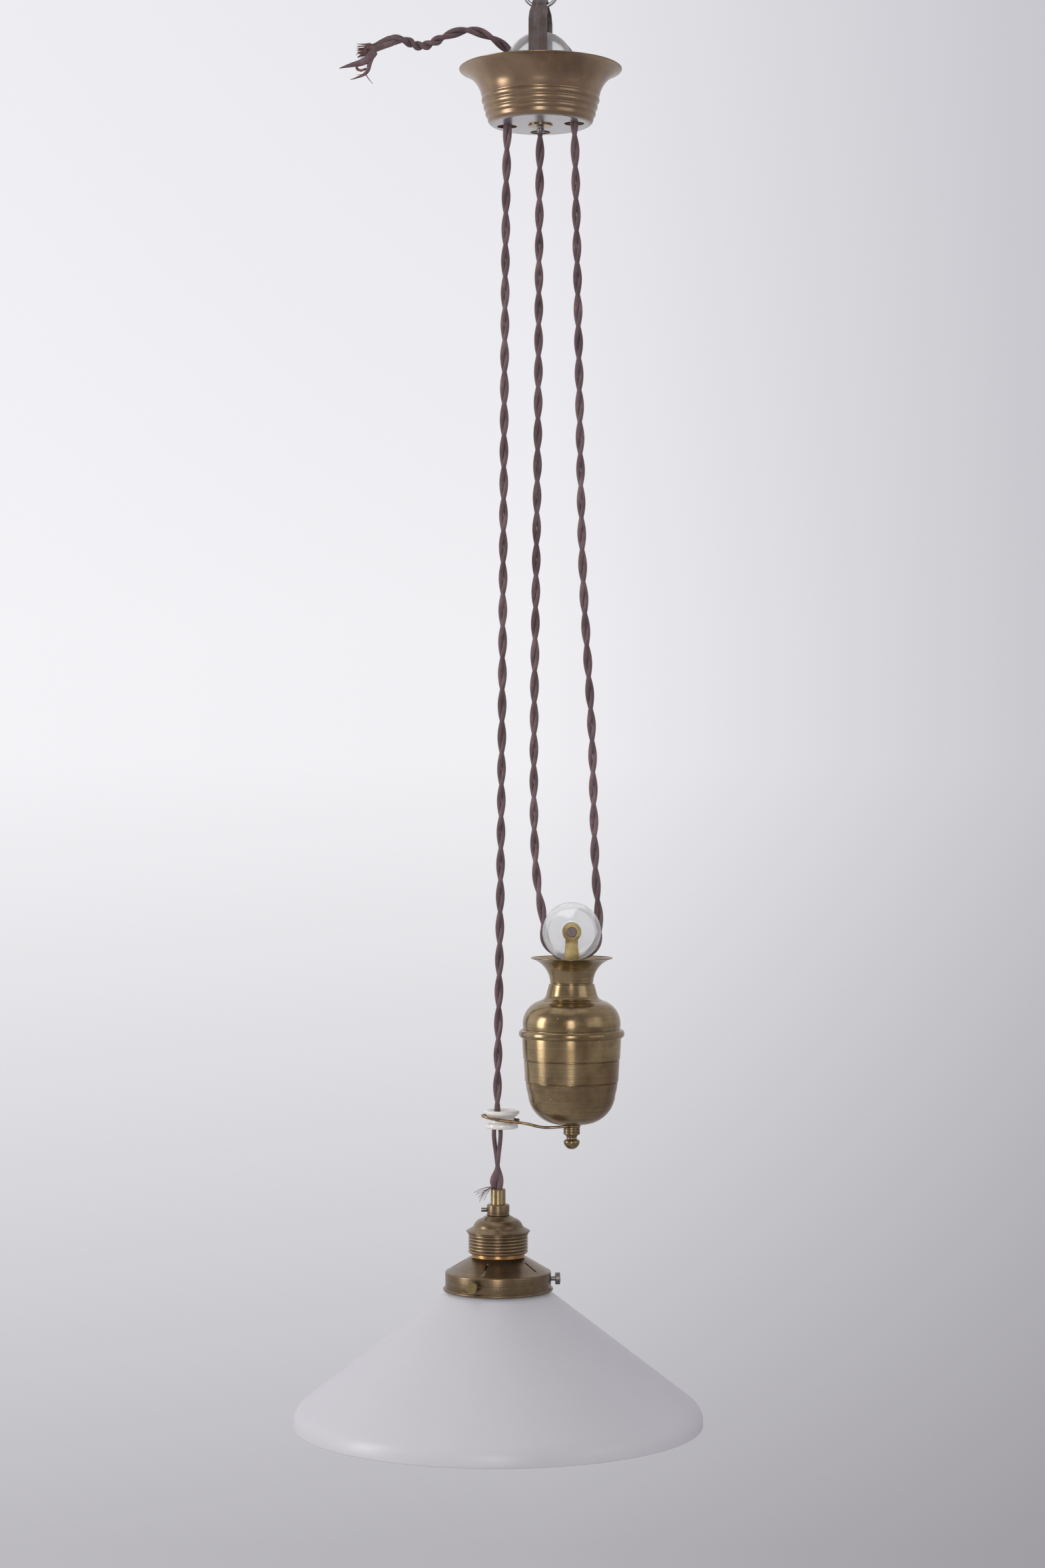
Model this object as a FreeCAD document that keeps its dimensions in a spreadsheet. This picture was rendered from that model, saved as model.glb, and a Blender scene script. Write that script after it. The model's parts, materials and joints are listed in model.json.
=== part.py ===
import FreeCAD, Part
import math
import os
import Sketcher

# Rise and fall pendant. A flex runs from the lamp up over a glass pulley in the
# ceiling cup, down round a glass pulley on a brass counterweight, and up again to a
# knot in the cup. +Z is up, -Y is the front, and the origin is the centre of the
# steel ring that the ceiling hook holds.

SIZES = {
    # hanging ring
    "ring_radius": 11.4,
    "ring_wire": 1.4,
    # hanger strap
    "strap_thickness": 2.0,
    "strap_width": 12.0,
    "strap_top_width": 9.3,
    "strap_bend": 3.3,
    "strap_bend_drop": 0.2,
    "strap_slope_height": 9.4,
    "strap_floor_gap": 9.5,
    "bracket_turn": 12.0,
    # fits
    "seat_gap": 0.3,
    "running_gap": 0.08,
    "fixed_gap": 0.1,
    # twisted flex
    "cord_radius": 2.9,
    "cord_inset": 1.0,
    # ceiling pulley and its axle
    "pulley_drop": 51.5,
    "pulley_radius": 23.0,
    "pulley_width": 11.0,
    "pulley_hub_radius": 6.0,
    "pulley_hub_width": 15.6,
    "pulley_edge": 0.9,
    "axle_radius": 2.0,
    "axle_head_radius": 3.6,
    "axle_head_height": 1.6,
    "axle_nut_radius": 4.0,
    "axle_nut_height": 2.4,
    "axle_tail": 1.0,
    # ceiling cup
    "cup_wall": 0.8,
    "cup_height": 37.0,
    "cup_floor_radius": 31.0,
    "cup_corner": 4.0,
    "cup_waist_radius": 39.6,
    "cup_flare": 14.0,
    "cup_lip": 0.9,
    "cup_ridge_start": 5.9,
    "cup_ridge_pitch": 4.05,
    "cup_ridge_height": 3.3,
    "cup_ridge_bulge": 2.3,
    "cup_hole_radius": 6.6,
    "cup_hole_circle": 22.6,
    # cup screw, nuts and washer
    "stud_radius": 1.5,
    "stud_head_radius": 3.2,
    "stud_head_height": 1.8,
    "lock_nut_radius": 3.6,
    "lock_nut_height": 2.5,
    "washer_radius": 8.0,
    "washer_height": 1.0,
    "knob_radius": 2.5,
    "knob_height": 4.4,
    # knot that anchors the flex
    "knot_radius": 8.6,
    "knot_height": 9.0,
    # counterweight place
    "weight_x": 20.5,
    "weight_y": -2.3,
    "weight_drop": 621.3,
    # counterweight pulley, axle and fork
    "weight_pulley_radius": 19.3,
    "weight_pulley_width": 10.0,
    "weight_hub_radius": 5.5,
    "weight_hub_width": 10.4,
    "fork_thickness": 1.6,
    "fork_head_radius": 6.15,
    "fork_neck_width": 8.0,
    "fork_foot_width": 10.0,
    "fork_flare_start": 9.0,
    "fork_flare_end": 17.8,
    "fork_base_drop": 26.7,
    "pin_radius": 2.0,
    "pin_head_radius": 3.4,
    "pin_head_height": 1.2,
    # tie rod and what it clamps
    "rod_radius": 2.5,
    "rod_nut_radius": 4.6,
    "rod_nut_height": 3.0,
    "spacer_radius": 5.0,
    # counterweight shells
    "mouth_drop": 18.0,
    "mouth_radius": 27.0,
    "mouth_height": 16.3,
    "neck_radius": 14.2,
    "collar_radius": 16.6,
    "collar_height": 7.0,
    "ledge_radius": 19.9,
    "ledge_height": 4.0,
    "shoulder_inset": 0.7,
    "shoulder_height": 19.4,
    "bead_overhang": 2.2,
    "bead_height": 4.8,
    "bowl_radius": 32.6,
    "bowl_waist_radius": 28.6,
    "bowl_side_height": 37.5,
    "bowl_height": 57.3,
    "bowl_foot_radius": 8.0,
    "bowl_band_height": 14.6,
    "bowl_band_step": 0.35,
    "shell_wall": 0.9,
    "filling_gap": 0.4,
    "filling_drop": 1.0,
    # finial
    "finial_collar_radius": 5.5,
    "finial_collar_height": 5.2,
    "finial_neck_radius": 3.85,
    "finial_neck_height": 3.1,
    "finial_knob_radius": 5.3,
    "finial_knob_height": 6.2,
    # guide wire and porcelain eyelet
    "wire_radius": 0.9,
    "wire_eye_radius": 5.1,
    "wire_sag": 1.6,
    "wire_loop_tilt": 2.4,
    "eyelet_x": -25.6,
    "eyelet_rise": 2.5,
    "eyelet_height": 12.0,
    "eyelet_bore": 6.0,
    "eyelet_waist": 8.2,
    "eyelet_flange": 11.6,
    "eyelet_lower_flange": 10.9,
    "eyelet_flange_height": 3.4,
    # lamp place
    "lamp_x": -28.0,
    "lamp_clearance": 40.0,
    # lampholder
    "nipple_radius": 4.9,
    "nipple_bore": 3.5,
    "nipple_height": 20.0,
    "nipple_above": 10.1,
    "grip_radius": 7.5,
    "grip_height": 7.5,
    "grip_screw_radius": 1.4,
    "grip_screw_reach": 11.2,
    "cap_height": 11.8,
    "cap_top_radius": 8.6,
    "cap_dome_radius": 16.6,
    "cap_dome_height": 8.0,
    "cap_rim_radius": 21.0,
    "holder_wall": 0.8,
    "insert_radius": 14.6,
    "insert_height": 4.9,
    "insert_bore": 3.1,
    "insert_skirt_radius": 16.4,
    "insert_skirt_height": 16.2,
    "shell_bore": 13.3,
    "shell_length": 24.0,
    "contact_radius": 4.0,
    "contact_height": 1.1,
    "terminal_radius": 1.9,
    "terminal_height": 1.0,
    "terminal_offset": 9.0,
    "sleeve_radius": 20.0,
    "sleeve_height": 12.8,
    "sleeve_ridge": 0.8,
    "sleeve_pitch": 2.0,
    # gallery
    "gallery_neck_radius": 17.5,
    "gallery_neck_height": 2.6,
    "gallery_cone_height": 9.3,
    "gallery_radius": 35.0,
    "gallery_band_height": 11.0,
    "gallery_lip": 1.1,
    "gallery_lip_height": 1.7,
    "slot_width": 1.8,
    "slot_start": 21.0,
    "slot_length": 10.5,
    "slot_azimuth": 180.0,
    # thumbscrews
    "thumb_radius": 1.5,
    "thumb_head_radius": 4.0,
    "thumb_head_height": 3.1,
    "thumb_neck": 2.9,
    "thumb_azimuth": 5.0,
    "thumb_height": 5.7,
    # shade
    "shade_wall": 2.6,
    "shade_neck_radius": 29.0,
    "shade_bead_radius": 31.4,
    "shade_bead_height": 2.4,
    "shade_radius": 135.5,
    "shade_turn": 5.5,
    "shade_edge_height": 7.0,
    "shade_neck_height": 8.1,
    "shade_cone_drop": 78.0,
    "shade_turn_drop": 7.0,
    # supply tail
    "core_radius": 1.3,
}

RIDGES = 4
SLEEVE_RIDGES = 6
GALLERY_SLOTS = 5
THUMBSCREWS = 3

os.makedirs("parts", exist_ok=True)
document = FreeCAD.newDocument("rise_and_fall_pendant")
sheet = document.addObject("Spreadsheet::Sheet", "sizes")
for row, (alias, number) in enumerate(SIZES.items(), start=1):
    sheet.set(f"A{row}", alias)
    sheet.set(f"B{row}", str(number))
    sheet.setAlias(f"B{row}", alias)
document.recompute()


class Size:
    """A length or angle that knows its number and the sheet expression it comes from."""

    def __init__(self, number, text):
        self.number = float(number)
        self.text = text

    @staticmethod
    def of(value):
        return value if isinstance(value, Size) else Size(value, repr(float(value)))

    def __add__(self, other):
        other = Size.of(other)
        return Size(self.number + other.number, f"({self.text} + {other.text})")

    def __radd__(self, other):
        return Size.of(other) + self

    def __sub__(self, other):
        other = Size.of(other)
        return Size(self.number - other.number, f"({self.text} - {other.text})")

    def __rsub__(self, other):
        return Size.of(other) - self

    def __mul__(self, other):
        other = Size.of(other)
        return Size(self.number * other.number, f"({self.text} * {other.text})")

    def __rmul__(self, other):
        return Size.of(other) * self

    def __truediv__(self, other):
        other = Size.of(other)
        return Size(self.number / other.number, f"({self.text} / {other.text})")

    def __neg__(self):
        return Size(-self.number, f"(-1 * {self.text})")

    def root(self):
        return Size(math.sqrt(self.number), f"sqrt({self.text})")

    def cosine(self):
        return Size(math.cos(math.radians(self.number)), f"cos({self.text} * 1 deg)")

    def sine(self):
        return Size(math.sin(math.radians(self.number)), f"sin({self.text} * 1 deg)")


class Sheet:
    """Gives each alias of the sheet as a Size."""

    def __getattr__(self, alias):
        return Size(sheet.get(alias), f"sizes.{alias}")


S = Sheet()
ZERO = Size(0, "0")
NODES = []


def bind(thing, name, value):
    """Set a property to a Size and keep it tied to the sheet."""
    value = Size.of(value)
    setattr(thing, name, value.number)
    thing.setExpression(name, value.text)


def place(thing, x=ZERO, y=ZERO, z=ZERO, turn=None, axis=(0, 0, 1)):
    """Put a piece at x, y, z, turned by an angle about one axis."""
    x, y, z = Size.of(x), Size.of(y), Size.of(z)
    rotation = FreeCAD.Rotation()
    if turn is not None:
        turn = Size.of(turn)
        rotation = FreeCAD.Rotation(FreeCAD.Vector(*axis), turn.number)
    thing.Placement = FreeCAD.Placement(FreeCAD.Vector(x.number, y.number, z.number), rotation)
    for letter, value in zip("xyz", (x, y, z)):
        thing.setExpression(f"Placement.Base.{letter}", value.text)
    if turn is not None:
        thing.setExpression("Placement.Rotation.Angle", turn.text)


def new_body(label):
    body = document.addObject("PartDesign::Body", label)
    body.Label = label
    NODES.append(body)
    return body


def new_sketch(body, plane):
    """A sketch on one of the body's own origin planes."""
    sketch = body.newObject("Sketcher::SketchObject", f"{body.Label}_sketch")
    origin = [f for f in body.Origin.OriginFeatures if f.Role == plane][0]
    sketch.AttachmentSupport = [(origin, "")]
    sketch.MapMode = "FlatFace"
    return sketch


def fix_point(sketch, ties, edge, end, x, y):
    """Tie one end of an edge to its distances from the sketch's origin."""
    for kind, value, axis in (("DistanceX", x, -2), ("DistanceY", y, -1)):
        if value.number == 0 and value.text in ("0", "0.0"):
            ties.append((Sketcher.Constraint("PointOnObject", edge, end, axis), None))
        elif value.number < 0:
            constraint = Sketcher.Constraint(kind, edge, end, -1, 1, -value.number)
            ties.append((constraint, (-value).text))
        else:
            constraint = Sketcher.Constraint(kind, -1, 1, edge, end, value.number)
            ties.append((constraint, value.text))


def tie(sketch, ties):
    """Add the constraints and bind each size to its expression."""
    first = sketch.ConstraintCount
    sketch.addConstraint([constraint for constraint, _ in ties])
    for number, (_, text) in enumerate(ties, start=first):
        if text:
            sketch.setExpression(f"Constraints[{number}]", text)


def outline(sketch, points):
    """A closed outline through points. A third value is the radius of an arc to the next
    point: its centre lies to the left of the way there, or to the right if it is negative."""
    spots = [(Size.of(p[0]), Size.of(p[1]), Size.of(p[2]) if len(p) > 2 else None) for p in points]
    edges = []
    for (x, y, radius), (x2, y2, _) in zip(spots, spots[1:] + spots[:1]):
        start = FreeCAD.Vector(x.number, y.number, 0)
        end = FreeCAD.Vector(x2.number, y2.number, 0)
        if radius is None:
            edges.append((sketch.addGeometry(Part.LineSegment(start, end), False), 1, 2, None))
            continue
        chord = end - start
        side = 1 if radius.number > 0 else -1
        reach = math.sqrt(max(radius.number ** 2 - (chord.Length / 2) ** 2, 0))
        left = FreeCAD.Vector(-chord.y, chord.x, 0).normalize()
        centre = (start + end) * 0.5 + left * (reach * side)
        first, last = (start, end) if side > 0 else (end, start)
        from_angle = math.atan2(first.y - centre.y, first.x - centre.x)
        to_angle = math.atan2(last.y - centre.y, last.x - centre.x)
        circle = Part.Circle(centre, FreeCAD.Vector(0, 0, 1), abs(radius.number))
        arc = Part.ArcOfCircle(circle, from_angle, to_angle)
        ends = (1, 2) if side > 0 else (2, 1)
        edges.append((sketch.addGeometry(arc, False), *ends, radius if side > 0 else -radius))
    ties = []
    for number, (edge, begin, _, radius) in enumerate(edges):
        before, _, finish, _ = edges[number - 1]
        ties.append((Sketcher.Constraint("Coincident", before, finish, edge, begin), None))
        fix_point(sketch, ties, edge, begin, spots[number][0], spots[number][1])
        if radius is not None:
            ties.append((Sketcher.Constraint("Radius", edge, radius.number), radius.text))
    tie(sketch, ties)


def circle(sketch, x, y, radius):
    x, y, radius = Size.of(x), Size.of(y), Size.of(radius)
    shape = Part.Circle(FreeCAD.Vector(x.number, y.number, 0), FreeCAD.Vector(0, 0, 1), radius.number)
    edge = sketch.addGeometry(shape, False)
    ties = [(Sketcher.Constraint("Radius", edge, radius.number), radius.text)]
    fix_point(sketch, ties, edge, 3, x, y)
    tie(sketch, ties)


def revolve(body, sketch, angle=360, reverse=False):
    turn = body.newObject("PartDesign::Revolution", f"{body.Label}_turned")
    turn.Profile = sketch
    turn.ReferenceAxis = (sketch, ["V_Axis"])
    turn.Angle = angle
    turn.Reversed = reverse
    body.Tip = turn
    return turn


def turned(label, points, plane="XZ_Plane"):
    """A lathe-turned piece: its half section spun about Z, or about Y from XY_Plane."""
    body = new_body(label)
    sketch = new_sketch(body, plane)
    outline(sketch, points)
    revolve(body, sketch)
    return body


def pad(body, sketch, length, both_ways=False, reverse=False):
    feature = body.newObject("PartDesign::Pad", f"{body.Label}_pad")
    feature.Profile = sketch
    bind(feature, "Length", length)
    feature.Midplane = both_ways
    feature.Reversed = reverse
    body.Tip = feature
    return feature


def cut_through(body, sketch, both_ways=False, reverse=False):
    """A pocket through everything, checked to take metal away."""
    document.recompute()
    before = body.Tip.Shape.Volume
    feature = body.newObject("PartDesign::Pocket", f"{body.Label}_cut")
    feature.Profile = sketch
    feature.Type = "ThroughAll"
    feature.Midplane = both_ways
    feature.Reversed = reverse
    body.Tip = feature
    document.recompute()
    if not feature.Shape.Volume < before:
        raise RuntimeError(f"a cut in {body.Label} removes nothing")
    return feature


def polar(body, feature, count):
    pattern = body.newObject("PartDesign::PolarPattern", f"{body.Label}_pattern")
    pattern.Originals = [feature]
    axis = [f for f in body.Origin.OriginFeatures if f.Role == "Z_Axis"][0]
    pattern.Axis = (axis, [""])
    pattern.Angle = 360
    pattern.Occurrences = count
    body.Tip = pattern
    return pattern


def spun(angle, points):
    """The same points turned about the origin."""
    across, along = angle.cosine(), angle.sine()
    turned_points = []
    for x, y, *radius in points:
        turned_points.append((x * across - y * along, x * along + y * across, *radius))
    return turned_points


def hexagon(radius):
    """The six corners of a nut, the first on the x axis."""
    half, rise = radius / 2, radius * Size(3, "3").root() / 2
    return [(radius, 0), (half, rise), (-half, rise), (-radius, 0), (-half, -rise), (half, -rise)]


def nut(label, radius, bore, height, plane="XY_Plane", reverse=False):
    body = new_body(label)
    sketch = new_sketch(body, plane)
    outline(sketch, hexagon(radius))
    circle(sketch, 0, 0, bore)
    pad(body, sketch, height, reverse=reverse)
    return body


def straight_tube(label, start, end, radius):
    """A taut stretch of flex between two points."""
    run = document.addObject("Part::Feature", label)
    run.Shape = Part.makeCylinder(radius, (end - start).Length, start, end - start)
    run.Label = label
    NODES.append(run)
    return run


def rounded_path(points, share=0.45):
    """Straight runs joined by tangent arcs, each as large as its shorter run allows."""
    edges, radii, last = [], [], points[0]
    for before, corner, after in zip(points, points[1:], points[2:]):
        way_in = (corner - before).normalize()
        way_out = (after - corner).normalize()
        turn = way_in.getAngle(way_out)
        back = share * min((corner - before).Length, (after - corner).Length)
        radius = back / math.tan(turn / 2)
        start = corner - way_in * back
        end = corner + way_out * back
        inward = (way_out - way_in).normalize()
        centre = corner + inward * (radius / math.cos(turn / 2))
        middle = centre - inward * radius
        edges.append(Part.LineSegment(last, start).toShape())
        edges.append(Part.Arc(start, middle, end).toShape())
        radii.append(radius)
        last = end
    edges.append(Part.LineSegment(last, points[-1]).toShape())
    return Part.Wire(edges), radii


def swept(points, radius, share=0.45):
    """A round tube along a rounded path."""
    path, radii = rounded_path(points, share)
    ring = Part.Wire([Part.Circle(points[0], points[1] - points[0], radius).toShape()])
    return path.makePipeShell([ring], True, True), path.Length, radii


def tube(label, points, radius, share=0.45):
    solid, length, radii = swept(points, radius, share)
    piece = document.addObject("Part::Feature", label)
    piece.Shape = solid
    piece.Label = label
    NODES.append(piece)
    ratio = solid.Volume / (math.pi * radius ** 2 * length)
    print(label, "length", round(length, 1), "volume ratio", round(ratio, 4))
    print(label, "radii", [round(r, 1) for r in radii])
    return piece


# ---------------------------------------------------------------- ceiling end

def pulley(label, radius, width, hub_radius, hub_width, bore):
    """A glass pulley turned about Y, with a round groove for the flex and a raised hub."""
    groove = S.cord_radius + S.seat_gap * 2
    above = S.cord_inset - S.seat_gap
    half = (groove * groove - above * above).root()
    bottom = radius - above - groove
    points = [
        (bore, -(hub_width / 2)),
        (hub_radius, -(hub_width / 2)),
        (hub_radius + S.pulley_edge, -(width / 2)),
        (radius - S.pulley_edge, -(width / 2), S.pulley_edge),
        (radius, -(width / 2 - S.pulley_edge)),
        (radius, -half, -groove),
        (bottom, 0, -groove),
        (radius, half),
        (radius, width / 2 - S.pulley_edge, S.pulley_edge),
        (radius - S.pulley_edge, width / 2),
        (hub_radius + S.pulley_edge, width / 2),
        (hub_radius, hub_width / 2),
        (bore, hub_width / 2),
    ]
    return turned(label, points, "XY_Plane")


def pin(label, radius, head_radius, head_height, front, back):
    """A headed pin along Y: the head's seat is at -front and the plain end at +back."""
    edge = head_height / 3
    points = [
        (0, -(front + head_height)),
        (head_radius - edge, -(front + head_height), edge),
        (head_radius, -(front + head_height - edge)),
        (head_radius, -front),
        (radius, -front),
        (radius, back),
        (0, back),
    ]
    return turned(label, points, "XY_Plane")


def hanging_ring():
    ring = document.addObject("Part::Torus", "hanging_ring")
    ring.Label = "hanging_ring"
    bind(ring, "Radius1", S.ring_radius)
    bind(ring, "Radius2", S.ring_wire)
    ring.Placement = FreeCAD.Placement(FreeCAD.Vector(), FreeCAD.Rotation(FreeCAD.Vector(1, 0, 0), 90))
    NODES.append(ring)


leg_inside = S.pulley_hub_width / 2 + S.seat_gap
leg_outside = leg_inside + S.strap_thickness
strap_floor = S.pulley_radius + S.strap_floor_gap
bend_height = S.pulley_drop - S.ring_radius - S.strap_bend_drop
slope_height = bend_height - S.strap_slope_height


def hanger_strap():
    """A closed loop of flat steel: narrow over the ring, spread to straddle the pulley,
    with the cup's screw through its floor. Its own origin is the pulley's centre."""
    body = new_body("hanger_strap")
    loop = new_sketch(body, "YZ_Plane")
    bend_out = S.strap_bend + S.strap_thickness
    foot = -(strap_floor + S.strap_thickness)
    curve = S.strap_thickness * 1.5
    outline(loop, [
        (leg_outside - curve, foot, curve),
        (leg_outside, foot + curve),
        (leg_outside, slope_height),
        (bend_out, bend_height, bend_out),
        (0, bend_height + bend_out, bend_out),
        (-bend_out, bend_height),
        (-leg_outside, slope_height),
        (-leg_outside, foot + curve, curve),
        (-(leg_outside - curve), foot),
    ])
    nook = S.strap_thickness / 2
    outline(loop, [
        (leg_inside - nook, -strap_floor, nook),
        (leg_inside, nook - strap_floor),
        (leg_inside, slope_height),
        (S.strap_bend, bend_height, S.strap_bend),
        (0, bend_height + S.strap_bend, S.strap_bend),
        (-S.strap_bend, bend_height),
        (-leg_inside, slope_height),
        (-leg_inside, nook - strap_floor, nook),
        (-(leg_inside - nook), -strap_floor),
    ])
    pad(body, loop, S.strap_width, both_ways=True)
    waist = new_sketch(body, "XZ_Plane")
    side, narrow = S.strap_width, S.strap_top_width / 2
    top = bend_height + bend_out + S.strap_thickness
    for hand in (1, -1):
        outline(waist, [
            (hand * narrow, top),
            (hand * narrow, bend_height + S.strap_thickness),
            (hand * (S.strap_width / 2), bend_height - S.strap_thickness * 2),
            (hand * side, bend_height - S.strap_thickness * 2),
            (hand * side, top),
        ])
    cut_through(body, waist, both_ways=True)
    axle_hole = new_sketch(body, "XZ_Plane")
    circle(axle_hole, 0, 0, S.axle_radius + S.fixed_gap)
    cut_through(body, axle_hole, both_ways=True)
    stud_hole = new_sketch(body, "XY_Plane")
    circle(stud_hole, 0, 0, S.stud_radius + S.fixed_gap)
    cut_through(body, stud_hole)
    place(body, z=-S.pulley_drop, turn=-S.bracket_turn)


def ceiling_pulley_set():
    axle = pin("ceiling_axle", S.axle_radius, S.axle_head_radius, S.axle_head_height,
               leg_outside, leg_outside + S.axle_nut_height + S.axle_tail)
    place(axle, z=-S.pulley_drop, turn=-S.bracket_turn)
    wheel = pulley("ceiling_pulley", S.pulley_radius, S.pulley_width, S.pulley_hub_radius,
                   S.pulley_hub_width, S.axle_radius + S.running_gap)
    place(wheel, z=-S.pulley_drop, turn=-S.bracket_turn)
    axle_nut = nut("ceiling_axle_nut", S.axle_nut_radius, S.axle_radius + S.fixed_gap,
                   S.axle_nut_height, "XZ_Plane", reverse=True)
    place(axle_nut, leg_outside * S.bracket_turn.sine(), leg_outside * S.bracket_turn.cosine(),
          -S.pulley_drop, turn=-S.bracket_turn)


cup_bottom = -(S.pulley_drop + strap_floor + S.strap_thickness + S.lock_nut_height + S.cup_wall)


def ceiling_cup():
    """The spun brass cup: flat floor, four rolled ridges, and a flared lip."""
    wall, flare = S.cup_wall, S.cup_flare
    brim = S.cup_waist_radius + flare
    bottom_side = S.cup_floor_radius + S.cup_corner
    flare_start = S.cup_height - flare - wall
    rise = flare_start - S.cup_ridge_start
    widening = S.cup_waist_radius - bottom_side
    points = [
        (S.stud_radius + S.fixed_gap, 0),
        (S.cup_floor_radius, 0, S.cup_corner),
        (bottom_side, S.cup_corner),
    ]
    for ridge in range(RIDGES):
        low = S.cup_ridge_start + ridge * S.cup_ridge_pitch
        high = low + S.cup_ridge_height
        points.append((bottom_side + widening * (low - S.cup_ridge_start) / rise, low, S.cup_ridge_bulge))
        points.append((bottom_side + widening * (high - S.cup_ridge_start) / rise, high))
    points += [
        (S.cup_waist_radius, flare_start, -flare),
        (brim, S.cup_height - wall, S.cup_lip),
        (brim, S.cup_height, flare + wall),
        (S.cup_waist_radius - wall, flare_start),
        (bottom_side - wall, S.cup_ridge_start),
        (bottom_side - wall, S.cup_corner, -(S.cup_corner - wall)),
        (S.cup_floor_radius, wall),
        (S.stud_radius + S.fixed_gap, wall),
    ]
    body = turned("ceiling_cup", points)
    holes = new_sketch(body, "XY_Plane")
    side, back = S.bracket_turn.cosine(), S.bracket_turn.sine()
    circle(holes, -(S.cup_hole_circle * side), S.cup_hole_circle * back, S.cup_hole_radius)
    circle(holes, S.cup_hole_circle * side, -(S.cup_hole_circle * back), S.cup_hole_radius)
    circle(holes, 0, S.cup_hole_circle, S.cup_hole_radius)
    cut_through(body, holes, reverse=True)
    place(body, z=cup_bottom)


def cup_fasteners():
    """The stud through the strap and cup, the nut between them, and the washer and knob."""
    floor_top = -(S.pulley_drop + strap_floor)
    nut_bottom = cup_bottom + S.cup_wall
    knob_bottom = cup_bottom - S.washer_height - S.knob_height
    length = floor_top - knob_bottom - S.knob_height / 2
    stud = turned("cup_stud", [
        (0, 0),
        (S.stud_radius, 0),
        (S.stud_radius, length),
        (S.stud_head_radius, length),
        (S.stud_head_radius, length + S.stud_head_height / 2, S.stud_head_height / 2),
        (S.stud_head_radius - S.stud_head_height / 2, length + S.stud_head_height),
        (0, length + S.stud_head_height),
    ])
    place(stud, z=floor_top - length)
    lock = nut("cup_lock_nut", S.lock_nut_radius, S.stud_radius + S.fixed_gap, S.lock_nut_height)
    place(lock, z=nut_bottom)
    edge = S.washer_height / 2
    washer = turned("cup_washer", [
        (S.stud_radius + S.fixed_gap, 0),
        (S.washer_radius - edge, 0, edge),
        (S.washer_radius, edge),
        (S.washer_radius, S.washer_height),
        (S.stud_radius + S.fixed_gap, S.washer_height),
    ])
    place(washer, z=cup_bottom - S.washer_height)
    inside = S.stud_radius + S.fixed_gap
    socket = S.knob_height / 2 - S.fixed_gap
    knob = turned("cup_knob_nut", [
        (0, 0),
        (S.knob_radius / 2, 0, S.knob_radius),
        (S.knob_radius, S.knob_height / 3),
        (S.knob_radius, S.knob_height * 0.6),
        (S.knob_radius * 0.8, S.knob_height * 0.7),
        (S.knob_radius * 0.8, S.knob_height * 0.8),
        (S.knob_radius, S.knob_height),
        (inside, S.knob_height),
        (inside, socket),
        (0, socket),
    ])
    place(knob, z=knob_bottom)


def half_turn_of_cord(label, radius, over):
    """The half turn of flex that lies in a pulley's groove, above or below it."""
    body = new_body(label)
    sketch = new_sketch(body, "XY_Plane")
    circle(sketch, radius - S.cord_inset, 0, S.cord_radius)
    revolve(body, sketch, 180, reverse=over)
    return body


def anchor_knot():
    """The knot in the end of the flex, too big for the rear hole, lying on the cup's floor."""
    half = S.knot_height / 2
    knot = turned("anchor_knot", [
        (0, 0),
        (S.knot_radius - half, 0, half),
        (S.knot_radius, half, half),
        (S.knot_radius - half, S.knot_height),
        (0, S.knot_height),
    ])
    place(knot, ZERO, S.cup_hole_circle, cup_bottom + S.cup_wall)


def ceiling_end():
    hanging_ring()
    hanger_strap()
    ceiling_pulley_set()
    ceiling_cup()
    cup_fasteners()
    cord = half_turn_of_cord("cord_over_ceiling_pulley", S.pulley_radius, over=True)
    place(cord, z=-S.pulley_drop, turn=-S.bracket_turn)
    anchor_knot()


# -------------------------------------------------------------- counterweight

fork_inside = S.weight_hub_width / 2 + S.seat_gap
fork_outside = fork_inside + S.fork_thickness
mouth_level = -(S.weight_drop + S.mouth_drop)
neck_level = mouth_level - S.mouth_height
bead_radius = S.bowl_radius + S.bead_overhang
shoulder_radius = S.bowl_radius - S.shoulder_inset
bead_top = neck_level - S.collar_height - S.ledge_height - S.shoulder_height
bead_bottom = bead_top - S.bead_height
bowl_bottom = bead_top - S.bowl_height - S.bead_height
filling_top = bead_top - S.filling_drop
fork_base = -(S.weight_drop + S.fork_base_drop)
eye_level = bowl_bottom - S.wire_radius
finial_top = bowl_bottom - S.wire_radius * 2


def at_weight(piece, z, **turn):
    place(piece, S.weight_x, S.weight_y, z, **turn)


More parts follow.
